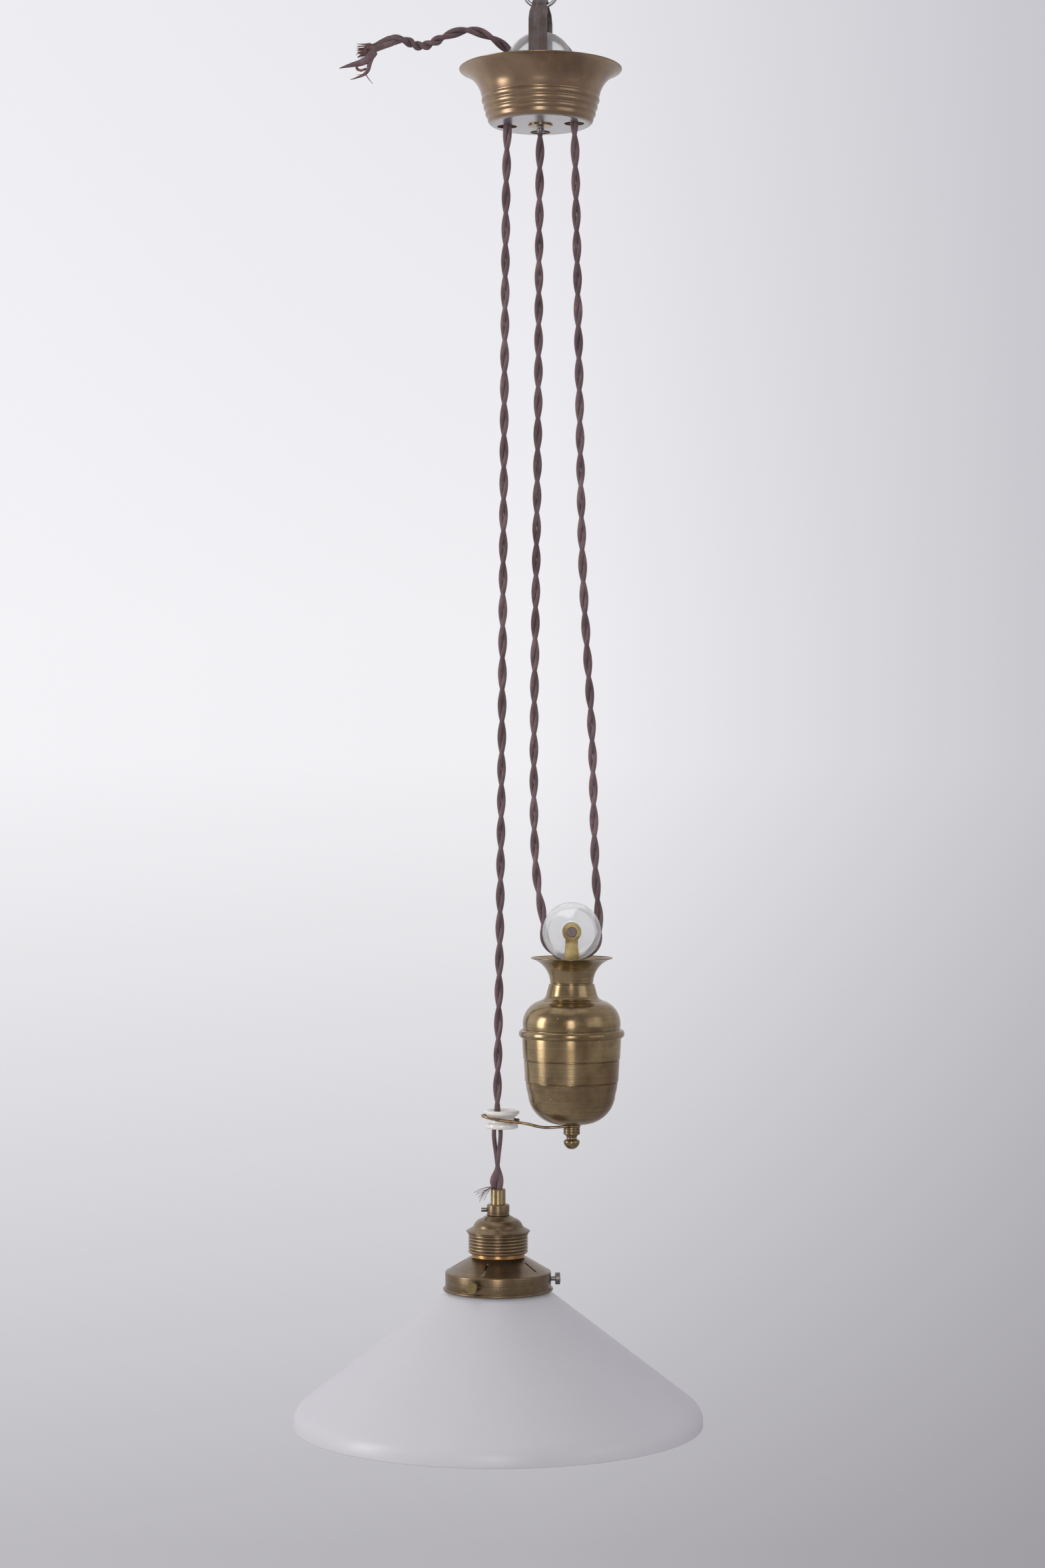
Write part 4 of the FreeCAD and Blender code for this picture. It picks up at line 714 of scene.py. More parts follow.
class PENDANT_OT_flex(bpy.types.Operator):
    """Lays the twisted flex from the lamp over both pulleys to the knot"""

    bl_idname = "pendant.flex"
    bl_label = "Twisted Flex"

    def execute(self, context):
        route = evenly(spline_points("flex_route", FLEX_ROUTE), 0.0012)
        strands = strand_lines(
            route, sizes().twist_pitch, self.spread, nearest(route, STRANDS_CROSS), math.pi / 2)
        cuts = [0] + [nearest(route, place) for place in (
            LAMP_RUN_TOP, WEIGHT_RUN_TOP, WEIGHT_RUN_FOOT, ANCHOR_RUN_FOOT, ANCHOR_RUN_TOP)]
        labels = "lamp_run", "over_pulley", "weight_run", "under_pulley", "anchor_run"
        lamp, over, weight, under, anchor = pieces = [
            strand_mesh(f"flex_{label}", [line[low:high + 1] for line in strands], self.thickness)
            for label, low, high in zip(labels, cuts, cuts[1:])
        ]
        for piece in pieces:
            coat(piece, "brown_flex")
        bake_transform(lamp)
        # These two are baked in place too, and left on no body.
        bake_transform(weight)
        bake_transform(anchor)
        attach(over, "ceiling")
        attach(under, "counterweight")
        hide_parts("lamp_cord_run", "lamp_cord_end")
        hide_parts("cord_over_ceiling_pulley")
        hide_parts("weight_cord_run")
        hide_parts("cord_under_weight_pulley")
        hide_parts("anchor_cord_run")
        self.frays()
        return {"FINISHED"}

    def spread(self, point):
        """How far the strands lie from the route, and how tightly they twist: close on the
        ceiling pulley, parted below the eyelet, and one bulging above the nipple."""
        thick = sizes().strand_radius
        if point.z > PULLEY_LEVEL:
            return thick * 0.7, thick * 0.7, 1.0
        if point.x > LAMP_SIDE or point.z > PARTED_LEVEL:
            return thick, thick, 1.0
        one = thick + 0.0007 * near(point.z, -0.755, 0.018)
        swell = near(point.z, -0.787, 0.0095)
        tightness = 0.49 if point.z > STRANDS_CROSS[2] else 1.05
        return one + thick * 0.05 * swell, one + thick * 0.95 * swell, tightness

    def thickness(self, share, point):
        """The strands are pressed flatter on the ceiling pulley and swell above the nipple."""
        thick = sizes().strand_radius
        if point.z > PULLEY_LEVEL:
            return thick * 0.86
        if point.x < LAMP_SIDE:
            return thick * (1.0 + 0.6 * near(point.z, -0.786, 0.0095))
        return thick

    def frays(self):
        """The threads that stand out of the braid where it enters the nipple."""
        rnd = random.Random(7)
        lines = []
        for number in range(10):
            start = Vector((-0.0305, 0.0030 + 0.0003 * number, -0.7898 - 0.00012 * number))
            reach = 0.007 + 0.008 * rnd.random()
            away = Vector((-1.0, rnd.uniform(-0.5, 0.3), rnd.uniform(-0.35, 0.25))).normalized()
            droop = Vector((0, 0, rnd.uniform(-0.0075, 0.0005)))
            lines.append(loose_thread("fray", start, away * reach, droop=droop, resolution=8))
        threads = strand_mesh("flex_frays", lines, 0.00016, 5)
        settle(threads, "lamp", "brown_flex", look="frayed")


class PENDANT_OT_knot(bpy.types.Operator):
    """Ties the flex's end into a knot above the cup's floor"""

    bl_idname = "pendant.knot"
    bl_label = "Anchor Knot"

    def execute(self, context):
        thick, centre = sizes().strand_radius, Vector(KNOT_CENTRE)
        wide, tall, steps = 0.00185, 0.00155, 160
        loop = []
        for k in range(steps):
            t = 2 * math.pi * k / steps
            loop.append(centre + Vector((
                (math.sin(t) + 2 * math.sin(2 * t)) * wide,
                (math.cos(t) - 2 * math.cos(2 * t)) * wide,
                -math.sin(3 * t) * tall)))
        strands = strand_lines(loop, 0.030, lambda point: (thick * 0.9, thick * 0.9, 1.0))
        knot = strand_mesh("anchor_knot_turns", strands, thick * 0.95)
        settle(knot, "ceiling", "brown_flex", "anchor_knot")
        return {"FINISHED"}


class PENDANT_OT_tail(bpy.types.Operator):
    """Lays the supply tail out of the cup, with its frayed and bare ends"""

    bl_idname = "pendant.tail"
    bl_label = "Supply Tail"

    def execute(self, context):
        thick = sizes().strand_radius
        route = evenly(spline_points("tail_route", TAIL_ROUTE), 0.0011)
        strands = strand_lines(
            route, sizes().tail_pitch, self.spread, len(route) - 1, -math.pi / 2)
        tail = strand_mesh(
            "supply_tail_strands", strands,
            lambda share, point: thick * (1.1 + max(0.0, share - 0.80) * 2.0))
        settle(tail, "ceiling", "brown_flex", "supply_tail")
        loose_ends, wire, tuft = self.loose_ends(), self.bare_wire(), self.tuft()
        whole = sum((b - a).length for a, b in zip(route, route[1:]))
        [tuple(p) for p in route]
        return {"FINISHED"}

    def spread(self, point):
        """The twist along the tail, which opens at the end."""
        thick = sizes().strand_radius
        for edge, tightness in TAIL_TWIST:
            if point.x > edge:
                return thick * 1.08, thick * 1.08, tightness
        return thick * 1.3, thick * 1.3, 0.5

    def loose_ends(self):
        """The tail's two strands, whose braid is pulled to a point."""
        pieces = []
        for route, thick in zip(END_ROUTES, (0.0029, 0.0018)):
            line = evenly(spline_points("core", route), 0.0006)
            pieces.append(strand_mesh(
                "tail_loose_ends", [line],
                lambda share, point: thick * max(0.12, 1.0 - share ** 1.7 * 0.92), 12))
        pick(*pieces)
        bpy.ops.object.join()
        settle(pieces[0], "ceiling", "brown_flex", "tail_cores")
        return pieces[0]

    def bare_wire(self):
        """Three thin wires, twisted together."""
        step, pitch = 0.0004, 0.006
        middle = evenly(spline_points("core", WIRE_END), step)
        lines = [
            [point + beside(across, 2 * math.pi * (i * step / pitch + third / 3)) * 0.00042
             for i, (point, across) in enumerate(zip(middle, frames(middle)))]
            for third in range(3)
        ]
        wires = strand_mesh("tail_bare_wire", lines, 0.00048, 8)
        settle(wires, "ceiling", "bare_copper")
        return wires

    def tuft(self):
        """The frayed tuft of braid at the tail's end, and three longer threads."""
        rnd = random.Random(11)
        lines = [spline_points("thread", route, 10) for route in THREAD_ROUTES]
        for _ in range(120):
            around, out = rnd.uniform(0, 2 * math.pi), rnd.uniform(0.2, 1.0)
            start = Vector((
                -0.1080 - rnd.uniform(0, 0.004), -0.0020 + 0.0016 * out * math.cos(around),
                -0.0388 + 0.0030 * out * math.sin(around)))
            away = Vector((
                -1.0, rnd.uniform(-0.25, 0.10), -0.32 + 0.30 * math.sin(around) * out)).normalized()
            reach = rnd.uniform(0.004, 0.0115)
            bend = Vector((0, rnd.uniform(-0.0008, 0.0008), rnd.uniform(-0.0010, 0.0010)))
            lines.append(loose_thread("thread", start, away * reach, bend))
        tuft = strand_mesh("tail_fray", lines, lambda share, point: 0.00042 - 0.00028 * share, 5)
        settle(tuft, "ceiling", "brown_flex", look="frayed")
        return tuft


# ---------------------------------------------------------------- turned pieces


def deselect():
    if bpy.context.object and bpy.context.object.mode != "OBJECT":
        bpy.ops.object.mode_set(mode="OBJECT")
    bpy.ops.object.select_all(action="DESELECT")


def pick(thing, *others):
    """Selects these pieces only, the first as the active one."""
    deselect()
    for each in (thing, *others):
        each.select_set(True)
    bpy.context.view_layer.objects.active = thing


def edit_all(operation, **settings):
    """Runs an edit mode operator on the whole mesh."""
    bpy.ops.mesh.select_all(action="SELECT")
    operation(**settings)


def arc_points(start, end, arc, degrees=9.0):
    """The points between start and end on an arc of this radius, whose centre is on the left
    of the way, or on the right if it is negative."""
    (r0, z0), (r1, z1) = start, end
    chord = math.hypot(r1 - r0, z1 - z0)
    hand = 1.0 if arc > 0 else -1.0
    offset = math.sqrt(max(0.0, arc * arc - chord * chord / 4)) / chord
    centre_r = (r0 + r1) / 2 - hand * (z1 - z0) * offset
    centre_z = (z0 + z1) / 2 + hand * (r1 - r0) * offset
    sweep = 2 * math.asin(min(1.0, chord / 2 / abs(arc))) * hand
    first = math.atan2(z0 - centre_z, r0 - centre_r)
    count = max(3, int(abs(math.degrees(sweep)) / degrees))
    turns = [first + sweep * k / count for k in range(1, count)]
    return [
        (centre_r + abs(arc) * math.cos(a), centre_z + abs(arc) * math.sin(a)) for a in turns]


def rounded(profile):
    """Expands a closed profile of points (radius, height), or (radius, height, arc) where an
    arc of that radius leads to the next point."""
    points = []
    for start, end in zip(profile, profile[1:] + profile[:1]):
        points.append(start[:2])
        if len(start) == 3:
            points += arc_points(start[:2], end[:2], start[2])
    return points


def turned(label, profile, base, steps=128, lying=False, smooth=32.0):
    """Spins a closed profile, in millimetres, round the vertical through base, or if lying
    round the line along Y through it."""
    deselect()
    points = rounded(profile)

    def place(r, h):
        return Vector(base) + Vector((r, -h, 0) if lying else (r, 0, h)) * MM

    bpy.ops.mesh.primitive_plane_add(size=0.001, location=place(*points[0]))
    thing = bpy.context.object
    thing.name = thing.data.name = label
    bpy.ops.object.transform_apply()
    bpy.ops.object.mode_set(mode="EDIT")
    edit_all(bpy.ops.mesh.merge, type="CENTER")
    for before, after in zip(points, points[1:] + points[:1]):
        bpy.ops.mesh.extrude_vertices_move(
            TRANSFORM_OT_translate={"value": tuple(place(*after) - place(*before))})
    edit_all(bpy.ops.mesh.remove_doubles, threshold=1e-7)
    axis = (0, 1, 0) if lying else (0, 0, 1)
    edit_all(bpy.ops.mesh.spin, steps=steps, angle=2 * math.pi, center=base, axis=axis)
    edit_all(bpy.ops.mesh.remove_doubles, threshold=2e-6)
    edit_all(bpy.ops.mesh.normals_make_consistent, inside=False)
    bpy.ops.object.mode_set(mode="OBJECT")
    bpy.ops.object.shade_smooth_by_angle(angle=math.radians(smooth))
    return thing


def turn_piece(label, node, body, profile, steps, slot="aged_brass", look=None, smooth=32.0):
    """A turned piece that stands where its node stands, and takes its place."""
    thing = turned(label, profile, foot_of(node), steps, smooth=smooth)
    settle(thing, body, slot, node, look=look)


def cut(thing, cutters):
    """Cuts the cutters out of thing and removes them."""
    for cutter in cutters:
        pick(thing)
        knife = thing.modifiers.new("cut", "BOOLEAN")
        knife.operation, knife.solver, knife.object = "DIFFERENCE", "EXACT", cutter
        bpy.ops.object.modifier_apply(modifier="cut")
        bpy.data.objects.remove(cutter)
    pick(thing)
    bpy.ops.object.shade_smooth_by_angle(angle=math.radians(32))


def drill(place, radius, depth=0.006, direction=(0, 0, 1), sides=48):
    """A round cutter through place along direction, in metres."""
    deselect()
    turn = Vector((0, 0, 1)).rotation_difference(Vector(direction)).to_euler()
    bpy.ops.mesh.primitive_cylinder_add(
        vertices=sides, radius=radius, depth=depth, location=place, rotation=turn)
    bpy.ops.object.transform_apply()
    return bpy.context.object


class PENDANT_OT_cup(bpy.types.Operator):
    """Spins the ceiling cup, with its rolled ridges and three cord holes"""

    bl_idname = "pendant.cup"
    bl_label = "Ceiling Cup"

    def execute(self, context):
        bore, floor, corner, wall = 1.6, 31.0, 4.0, 0.8
        side, shoulder, brim, tall, flare_low, flare = 35.0, 38.8, 53.6, 37.0, 18.6, 22.5
        first, pitch, ridge = 5.0, 4.45, 3.75
        widening = (shoulder - side) / (flare_low - first)
        profile = [(bore, 0.0), (floor, 0.0, corner), (side, corner)]
        for number in range(3):
            low = first + number * pitch
            profile.append((side + widening * (low - first), low, 2.6))
            profile.append((side + widening * (low + ridge - first), low + ridge, -1.2))
        profile += [
            (shoulder, flare_low, -flare), (brim - 0.3, tall - wall, 0.55),
            (brim + 0.1, tall - 0.1, 0.55), (brim - 0.3, tall, flare + wall),
            (shoulder - wall, flare_low), (side - wall, first),
            (side - wall, corner, wall - corner),
            (floor, wall), (bore, wall),
        ]
        base = foot_of("ceiling_cup")
        cup = turned("cup_shell", profile, base, steps=160)
        reach, hole, lean = 22.6 * MM, 6.6 * MM, math.radians(12)
        spots = (-math.cos(lean), math.sin(lean)), (math.cos(lean), -math.sin(lean)), (0.0, 1.0)
        cut(cup, [drill((base.x + x * reach, base.y + y * reach, base.z), hole) for x, y in spots])
        settle(cup, "ceiling", "aged_brass", "ceiling_cup", look="cup_brass")
        return {"FINISHED"}


class PENDANT_OT_pulleys(bpy.types.Operator):
    """Spins the two grooved glass pulleys"""

    bl_idname = "pendant.pulleys"
    bl_label = "Glass Pulleys"

    def execute(self, context):
        self.pulley("ceiling_wheel", "ceiling_pulley", 23.0, 11.0, 6.0, 15.6, lean=12.0)
        self.pulley("weight_wheel", "weight_pulley", 19.3, 10.0, 5.5, 10.4)
        return {"FINISHED"}

    def pulley(self, label, node, radius, width, hub, hub_width, lean=0.0):
        """A wheel round a hub, its rim hollowed by a groove, turned by lean about the vertical."""
        groove, above, bore, edge = 3.5, 0.7, 2.08, 1.1
        half = math.sqrt(groove * groove - above * above)
        side = [
            (hub - 0.5, hub_width / 2), (hub, hub_width / 2 - 0.5),
            (hub + 1.0, width / 2 - 0.15, -1.2), (hub + 2.2, width / 2 - 0.35),
            (radius - edge, width / 2 - 0.1, -edge), (radius, width / 2 - edge),
        ]
        back = [(radius, -half), *(
            (r, -h, *before[2:])
            for (r, h, *_), before in zip(side[::-1], [*side[-2::-1], ()])
        )]
        profile = [
            (bore, hub_width / 2), *side, (radius, half, groove),
            (radius - above - groove, 0.0, groove), *back, (bore, -hub_width / 2),
        ]
        centre = centre_of(node)
        wheel = turned(label, profile, centre, steps=144, lying=True, smooth=40.0)
        if lean:
            pick(wheel)
            bpy.ops.object.mode_set(mode="EDIT")
            edit_all(
                bpy.ops.transform.rotate, value=math.radians(lean), orient_axis="Z",
                center_override=centre)
            bpy.ops.object.mode_set(mode="OBJECT")
        settle(wheel, node, "clear_glass", node)


class PENDANT_OT_urn(bpy.types.Operator):
    """Spins the counterweight's two brass shells and its finial"""

    bl_idname = "pendant.urn"
    bl_label = "Counterweight Urn"

    def execute(self, context):
        turn_piece("urn_cap", "weight_cap", "counterweight", [
            (32.7, 0.0), (33.6, 0.0, 2.4), (34.8, 2.4, 2.4), (33.6, 4.8, 0.4), (33.0, 4.9, -0.5),
            (31.9, 5.4, 15.8), (20.4, 24.2, 0.4), (19.9, 24.5, -5.2), (16.8, 28.0),
            (15.0, 34.6, 0.4), (14.6, 35.2, -0.5), (14.2, 36.1, -16.9), (27.0, 51.9, 0.45),
            (26.6, 52.6, 0.5), (26.1, 52.2, 17.6), (13.3, 36.2), (15.9, 27.6),
            (19.0, 23.4, -15.2), (30.6, 4.4), (32.7, 4.4),
        ], 160)
        turn_piece("urn_bowl", "weight_bowl", "counterweight", self.bowl_profile(), 160)
        turn_piece("urn_finial", "finial", "counterweight", [
            (0.0, 0.0), (1.9, 0.0, 5.9), (5.3, 4.0, 1.9), (5.1, 5.4, 1.2), (3.9, 6.2, -1.4),
            (3.85, 8.4, -1.4), (4.6, 9.4, 0.4), (5.2, 9.7), (5.5, 10.1), (5.5, 11.3, -0.3),
            (5.5, 11.9), (5.5, 13.0, -0.3), (5.5, 13.6), (5.4, 14.4), (4.9, 14.5), (2.6, 14.5),
            (2.6, 6.1), (0.0, 6.1),
        ], 64, look="finial_brass")
        return {"FINISHED"}

    def bowl_profile(self):
        """A round bottom under a side that swells slightly, with two engraved steps."""
        tall, rim, wall, bore, foot = 57.3, 3.9, 0.9, 2.6, 8.0
        side = [(radius, tall - down) for radius, down in (
            (28.9, 37.5), (29.8, 34.0), (30.4, 29.7), (29.95, 29.4), (29.95, 29.1), (30.8, 28.7),
            (31.6, 15.1), (31.15, 14.8), (31.15, 14.5), (31.95, 14.1), (32.4, 6.0))]
        radius, height = side[0]
        run = radius - foot
        sweep = (run * run + height * height) / (2 * height) * 1.01
        return [
            (bore, 0.0), (foot, 0.0, sweep), *side, (32.6, tall), (32.6, tall + rim),
            (31.25, tall + rim), (radius - wall, height, -sweep * 0.97), (foot, wall), (bore, wall),
        ]


class PENDANT_OT_eyelet(bpy.types.Operator):
    """Spins the porcelain eyelet and bends the wire that carries it"""

    bl_idname = "pendant.eyelet"
    bl_label = "Eyelet and Guide Wire"

    def execute(self, context):
        turn_piece("porcelain_bobbin", "guide_eyelet", "eyelet", [
            (7.4, 0.0), (9.7, 0.0, 1.2), (10.9, 1.2, 3.0), (10.8, 2.6, 1.0), (9.8, 3.4, -1.6),
            (8.3, 4.8), (8.2, 6.4, -2.2), (9.6, 8.2), (11.2, 9.5, 0.8), (11.6, 10.3, 1.2),
            (10.5, 12.0, 1.6), (9.6, 12.0, -5.0), (8.4, 11.5), (7.0, 10.8, 1.6), (6.0, 9.4),
            (6.0, 1.3, 1.4),
        ], 96, slot="porcelain", smooth=50.0)
        gauge, eye_radius = 0.00095, 0.0051
        line = evenly(spline_points("wire", WIRE_ROUTE), 0.0008)
        wire = strand_mesh("eyelet_wire", [line], gauge, 14)
        deselect()
        bpy.ops.mesh.primitive_torus_add(
            location=WIRE_EYE, major_radius=eye_radius, minor_radius=gauge,
            major_segments=64, minor_segments=16)
        bpy.ops.object.shade_smooth()
        pick(wire, bpy.context.object)
        bpy.ops.object.join()
        bpy.ops.object.transform_apply()
        settle(wire, "counterweight", "fine_brass", "guide_wire", look="wire_brass")
        return {"FINISHED"}


class PENDANT_OT_holder(bpy.types.Operator):
    """Spins the brass lampholder: nipple, grip collar, domed cap and ridged sleeve"""

    bl_idname = "pendant.holder"
    bl_label = "Lampholder"

    def execute(self, context):
        turn_piece("nipple_tube", "cord_nipple", "lamp", [
            (3.5, 0.0), (4.9, 0.0), (4.9, 19.0), (4.75, 19.3), (4.9, 19.6, 0.4), (4.6, 20.0),
            (3.9, 20.0, 0.4), (3.5, 19.6),
        ], 64, slot="fine_brass", look="finial_brass")
        turn_piece("grip_ring", "grip_collar", "lamp", [
            (5.0, 0.0), (6.7, 0.0, 0.8), (7.5, 0.8), (7.5, 1.5), (7.2, 1.8), (7.2, 2.2),
            (7.5, 2.5), (7.5, 6.4, 1.1), (6.4, 7.5), (5.0, 7.5),
        ], 72, look="lamp_brass")
        turn_piece("holder_dome", "holder_cap", "lamp", [
            (19.2, 0.0), (20.1, 0.0), (20.1, 0.8), (20.9, 1.2, 0.4), (20.9, 1.9, -30.0),
            (16.4, 4.6, 7.5), (11.0, 9.9), (9.0, 11.2, -0.8), (8.1, 11.7), (7.8, 11.8),
            (5.0, 11.8), (5.0, 11.0), (7.8, 10.4), (12.0, 7.0), (15.8, 3.4), (19.2, 1.3),
        ], 128, look="lamp_brass")
        turn_piece(
            "holder_ridges", "holder_sleeve", "lamp", self.sleeve_profile(), 144,
            look="sleeve_brass")
        return {"FINISHED"}

    def sleeve_profile(self):
        """A sleeve with five half-round ridges."""
        inside, ground, pitch, tall = 17.6, 18.95, 2.15, 12.8
        profile = [(inside, 0.0), (18.6, 0.0, 1.4), (19.8, 1.3)]
        for number in range(5):
            low = 2.2 + number * pitch
            profile += [(ground, low), (ground, low + 0.25, 0.88), (ground, low + 2.0)]
        return profile + [(19.1, tall), (inside, tall)]


class PENDANT_OT_gallery(bpy.types.Operator):
    """Spins the shade gallery, and cuts its vent slits and screw holes"""

    bl_idname = "pendant.gallery"
    bl_label = "Gallery"

    def execute(self, context):
        base = foot_of("gallery")
        rim, wall, lip, half = 35.0, 0.8, 1.1, 0.85
        shell = turned("gallery_shell", [
            (rim - wall, 0.0), (rim + lip / 2, 0.0, half), (rim + lip / 2 + half, half, half),
            (rim + lip / 2, 1.7, 0.3), (35.2, 1.9, -0.3), (rim, 2.3), (rim, 6.6), (34.85, 6.8),
            (34.85, 7.1), (rim, 7.3), (rim, 11.6, 1.1), (34.0, 12.7), (18.3, 22.0, -1.0),
            (17.5, 22.9), (17.5, 37.4), (16.7, 37.4), (16.7, 22.4, 1.6), (17.9, 21.2),
            (33.4, 12.0, -1.2), (34.2, 11.0),
        ], base, steps=160)
        cut(shell, [self.slit(base, math.radians(180 + 72 * number)) for number in range(5)])
        holes = []
        for number in range(3):
            angle = math.radians(5 + 120 * number)
            out = Vector((math.cos(angle), math.sin(angle), 0))
            spot = Vector((base.x, base.y, centre_of("thumbscrew_1").z)) + out * (rim * MM)
            holes.append(drill(spot, 1.6 * MM, direction=out, sides=24))
        cut(shell, holes)
        settle(shell, "lamp", "aged_brass", "gallery", look="gallery_brass")
        return {"FINISHED"}

    def slit(self, base, angle):
        """A round-ended cutter for one vent slit, on the gallery's slope."""
        length, width, depth, reach, height = 9.4 * MM, 1.5 * MM, 24 * MM, 26.25 * MM, 22 * MM
        deselect()
        bpy.ops.mesh.primitive_cube_add(size=1.0)
        cutter = bpy.context.object
        bpy.ops.object.mode_set(mode="EDIT")
        edit_all(bpy.ops.transform.resize, value=(length, width, depth))
        bpy.ops.object.mode_set(mode="OBJECT")
        out = Vector((math.cos(angle), math.sin(angle), 0))
        cutter.location = base + out * reach + Vector((0, 0, height))
        cutter.rotation_euler = (0, 0, angle)
        bpy.ops.object.transform_apply()
        bevel = cutter.modifiers.new("ends", "BEVEL")
        bevel.width, bevel.segments, bevel.limit_method = 0.7 * MM, 5, "NONE"
        bpy.ops.object.modifier_apply(modifier="ends")
        return cutter


class PENDANT_OT_shade(bpy.types.Operator):
    """Spins the opal glass shade, with its bead and turned-down edge"""

    bl_idname = "pendant.shade"
    bl_label = "Opal Shade"

    def execute(self, context):
        turn_piece("opal_shade", "shade", "lamp", [
            (134.4, 0.0, 1.0), (135.4, 1.0), (135.3, 5.4, 15.0), (129.6, 14.3), (29.6, 91.6, -1.2),
            (29.0, 92.6), (29.0, 97.2, -0.5), (29.6, 97.7), (30.8, 97.9, 0.9), (31.4, 98.9, 1.1),
            (30.4, 100.1), (26.9, 100.1, 0.5), (26.4, 99.6), (26.4, 91.6), (27.6, 90.0),
            (128.2, 12.2, -14.4), (132.9, 6.0), (132.9, 1.3, 1.3),
        ], 224, slot="opal_glass", smooth=45.0)
        return {"FINISHED"}


class PENDANT_OT_hardware(bpy.types.Operator):
    """Gives the frame's own pieces their finishes"""

    bl_idname = "pendant.hardware"
    bl_label = "Hardware Finishes"

    def execute(self, context):
        looks = {s["node"]: s["material_slot"] for s in frame["record"]["subparts"]}
        looks.update(
            pulley_fork="fork_brass", tie_rod_nut="fork_brass", thumbscrew_3="fork_brass",
            cup_lock_nut="grey_steel")
        for name, node in NODES.items():
            coat(node, looks[name])
        deselect()
        return {"FINISHED"}


# ---------------------------------------------------------------- stage


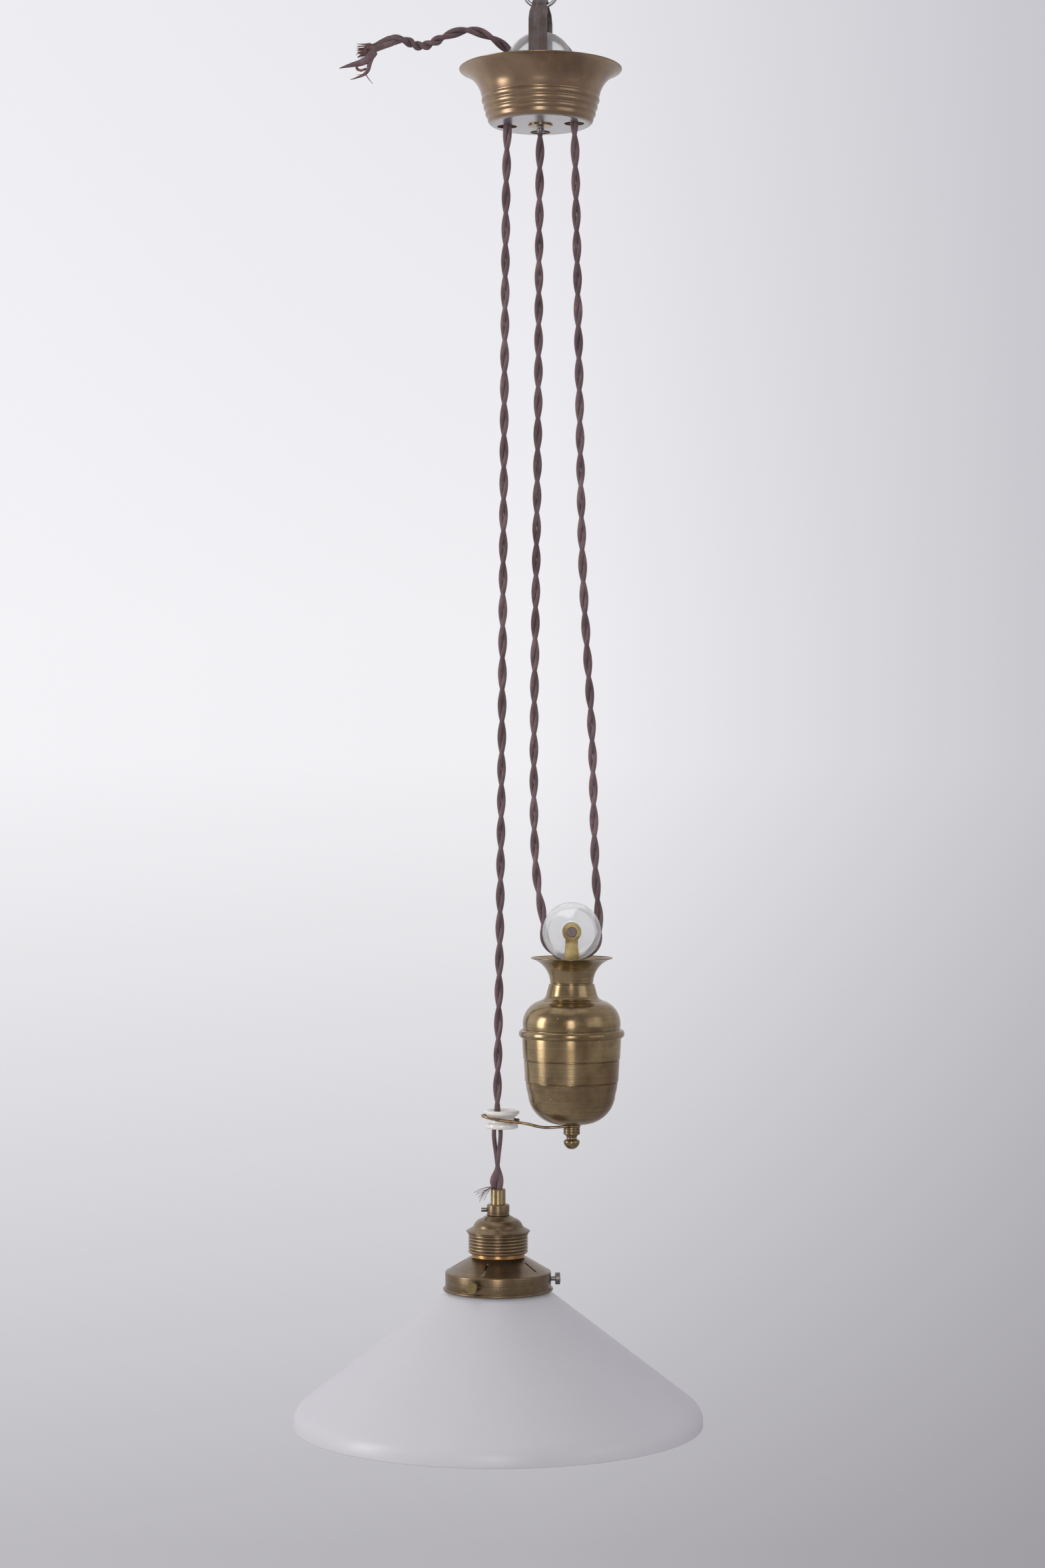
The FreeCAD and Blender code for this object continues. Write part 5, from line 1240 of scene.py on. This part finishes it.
class PENDANT_OT_stage(bpy.types.Operator):
    """Sets the wall, floor, soft lights and the camera"""

    bl_idname = "pendant.stage"
    bl_label = "Stage"

    def execute(self, context):
        scene = context.scene
        scene.view_settings.view_transform = "Standard"
        self.backdrop()
        self.room(scene)
        self.lights(scene)
        camera = bpy.data.cameras.new("photo_camera")
        camera.lens, camera.sensor_width = FOCAL_LENGTH, SENSOR_WIDTH
        camera.clip_start, camera.clip_end = 0.05, 50.0
        holder = bpy.data.objects.new("photo_camera", camera)
        holder.location = CAMERA_PLACE
        holder.rotation_euler = (math.pi / 2, 0.0, 0.0)
        scene.collection.objects.link(holder)
        scene.camera = holder
        return {"FINISHED"}

    def backdrop(self):
        """A floor that curves up into a wall."""
        size, height = 8.0, 6.0
        deselect()
        place = (0, sizes().wall_distance - size / 2, sizes().floor_level)
        bpy.ops.mesh.primitive_plane_add(size=size, location=place)
        sweep = bpy.context.object
        sweep.name = sweep.data.name = "studio_sweep"
        bpy.ops.object.mode_set(mode="EDIT")
        bpy.ops.mesh.select_all(action="DESELECT")
        bpy.ops.object.mode_set(mode="OBJECT")
        for vertex in sweep.data.vertices:
            vertex.select = vertex.co.y > 0
        for edge in sweep.data.edges:
            edge.select = all(sweep.data.vertices[v].select for v in edge.vertices)
        bpy.ops.object.mode_set(mode="EDIT")
        bpy.ops.mesh.extrude_region_move(TRANSFORM_OT_translate={"value": (0, 0, height)})
        bpy.ops.object.mode_set(mode="OBJECT")
        bpy.ops.object.transform_apply()
        bevel = sweep.modifiers.new("sweep", "BEVEL")
        bevel.width, bevel.segments = 0.35, 12
        bpy.ops.object.modifier_apply(modifier="sweep")
        bpy.ops.object.shade_smooth()
        sweep.data.materials.append(self.studio_paper())

    def studio_paper(self):
        """Matt paper. Seen straight, in a reflection or through glass it glows in the
        photograph's tones, and from behind it is clear."""
        f = Finish("studio_paper", Roughness=0.9, Specular_IOR_Level=0.1)
        base = finishes().wall
        f.colour(f.ramp(f.noise(3.0, 2.0), (0.3, tinted(base, 0.99)), (0.7, tuple(base))))
        across = f.scaled(f.part("X"), source=(-0.47, 0.47))
        height = f.scaled(f.part("Z"), source=(-1.24, 0.18))
        low, middle, high = (f.ramp(across, *zip((0.0, 0.5, 1.0), row)) for row in WALL_PAINTED_LIGHT)
        lower = f.mix(f.ramp(height, (0.02, 0.0), (0.52, 1.0)), low, middle)
        tone = f.mix(f.ramp(height, (0.6, 0.0), (1.0, 1.0)), lower, high)
        # Painted light and shade: the wall glows brighter on the left, darker to the right and at
        # its foot.
        painted_glow = f.add("ShaderNodeEmission", {"Color": tone}).outputs["Emission"]
        ray = f.add("ShaderNodeLightPath").outputs
        indirect = f.number("MAXIMUM", ray["Is Glossy Ray"], ray["Is Transmission Ray"])
        seen = f.number("MAXIMUM", ray["Is Camera Ray"], indirect)
        front = f.blend(seen, f.shader.outputs["BSDF"], painted_glow)
        behind = f.add("ShaderNodeNewGeometry").outputs["Backfacing"]
        clear = f.add("ShaderNodeBsdfTransparent").outputs["BSDF"]
        f.feed(f.nodes["Material Output"].inputs["Surface"], f.blend(behind, front, clear))
        return f.material

    def room(self, scene):
        """A pale room behind the lamp and a darker one in front of it. What the camera sees
        of it beyond the wall is paler still."""
        world = bpy.data.worlds.new("soft_room")
        world.use_nodes = True
        tree = NodeTree(world.node_tree)
        depth = tree.scaled(tree.part("Y", tree.place("Generated")), source=(-1.0, 1.0))
        tone = tree.ramp(depth, (0.12, (0.30, 0.29, 0.295)), (0.85, (0.50, 0.50, 0.53)))
        light = tree.nodes["Background"]
        tree.feed(light.inputs["Color"], tone)
        pale = tree.add("ShaderNodeBackground", {"Color": (0.80, 0.795, 0.82, 1.0)})
        seen = tree.add("ShaderNodeLightPath").outputs["Is Camera Ray"]
        shown = tree.blend(seen, light.outputs["Background"], pale.outputs["Background"])
        tree.feed(tree.nodes["World Output"].inputs["Surface"], shown)
        scene.world = world

    def lights(self, scene):
        for label, place, aim, (width, height), power, tint, shine in LIGHTS:
            data = bpy.data.lights.new(label, "AREA")
            data.shape, data.size, data.size_y = "RECTANGLE", width, height
            data.energy, data.color, data.specular_factor = power, tint, shine
            lamp = bpy.data.objects.new(label, data)
            lamp.location = place
            towards = Vector((0.0, 0.0, aim)) - Vector(place)
            lamp.rotation_euler = towards.to_track_quat("-Z", "Y").to_euler()
            scene.collection.objects.link(lamp)


class PENDANT_PT_panel(bpy.types.Panel):
    """Lists the pendant's pieces, sizes and colours"""

    bl_label = "Rise and Fall Pendant"
    bl_idname = "PENDANT_PT_panel"
    bl_space_type = "VIEW_3D"
    bl_region_type = "UI"
    bl_category = "Pendant"

    def draw(self, context):
        for operator in OPERATORS:
            self.layout.operator(operator.bl_idname)
        for group in (context.scene.pendant_sizes, context.scene.pendant_finishes):
            for name in group.__annotations__:
                self.layout.prop(group, name)


OPERATORS = (
    PENDANT_OT_stage,
    PENDANT_OT_hardware,
    PENDANT_OT_cup,
    PENDANT_OT_pulleys,
    PENDANT_OT_urn,
    PENDANT_OT_eyelet,
    PENDANT_OT_holder,
    PENDANT_OT_gallery,
    PENDANT_OT_shade,
    PENDANT_OT_flex,
    PENDANT_OT_knot,
    PENDANT_OT_tail,
)
CLASSES = (PendantSizes, PendantFinishes, *OPERATORS, PENDANT_PT_panel)


def register():
    for cls in CLASSES:
        bpy.utils.register_class(cls)
    bpy.types.Scene.pendant_sizes = PointerProperty(type=PendantSizes)
    bpy.types.Scene.pendant_finishes = PointerProperty(type=PendantFinishes)


def unregister():
    del bpy.types.Scene.pendant_finishes
    del bpy.types.Scene.pendant_sizes
    for cls in reversed(CLASSES):
        bpy.utils.unregister_class(cls)


def main():
    register()
    for operator in OPERATORS:
        group, name = operator.bl_idname.split(".")
        getattr(getattr(bpy.ops, group), name)()


if __name__ == "__main__":
    main()
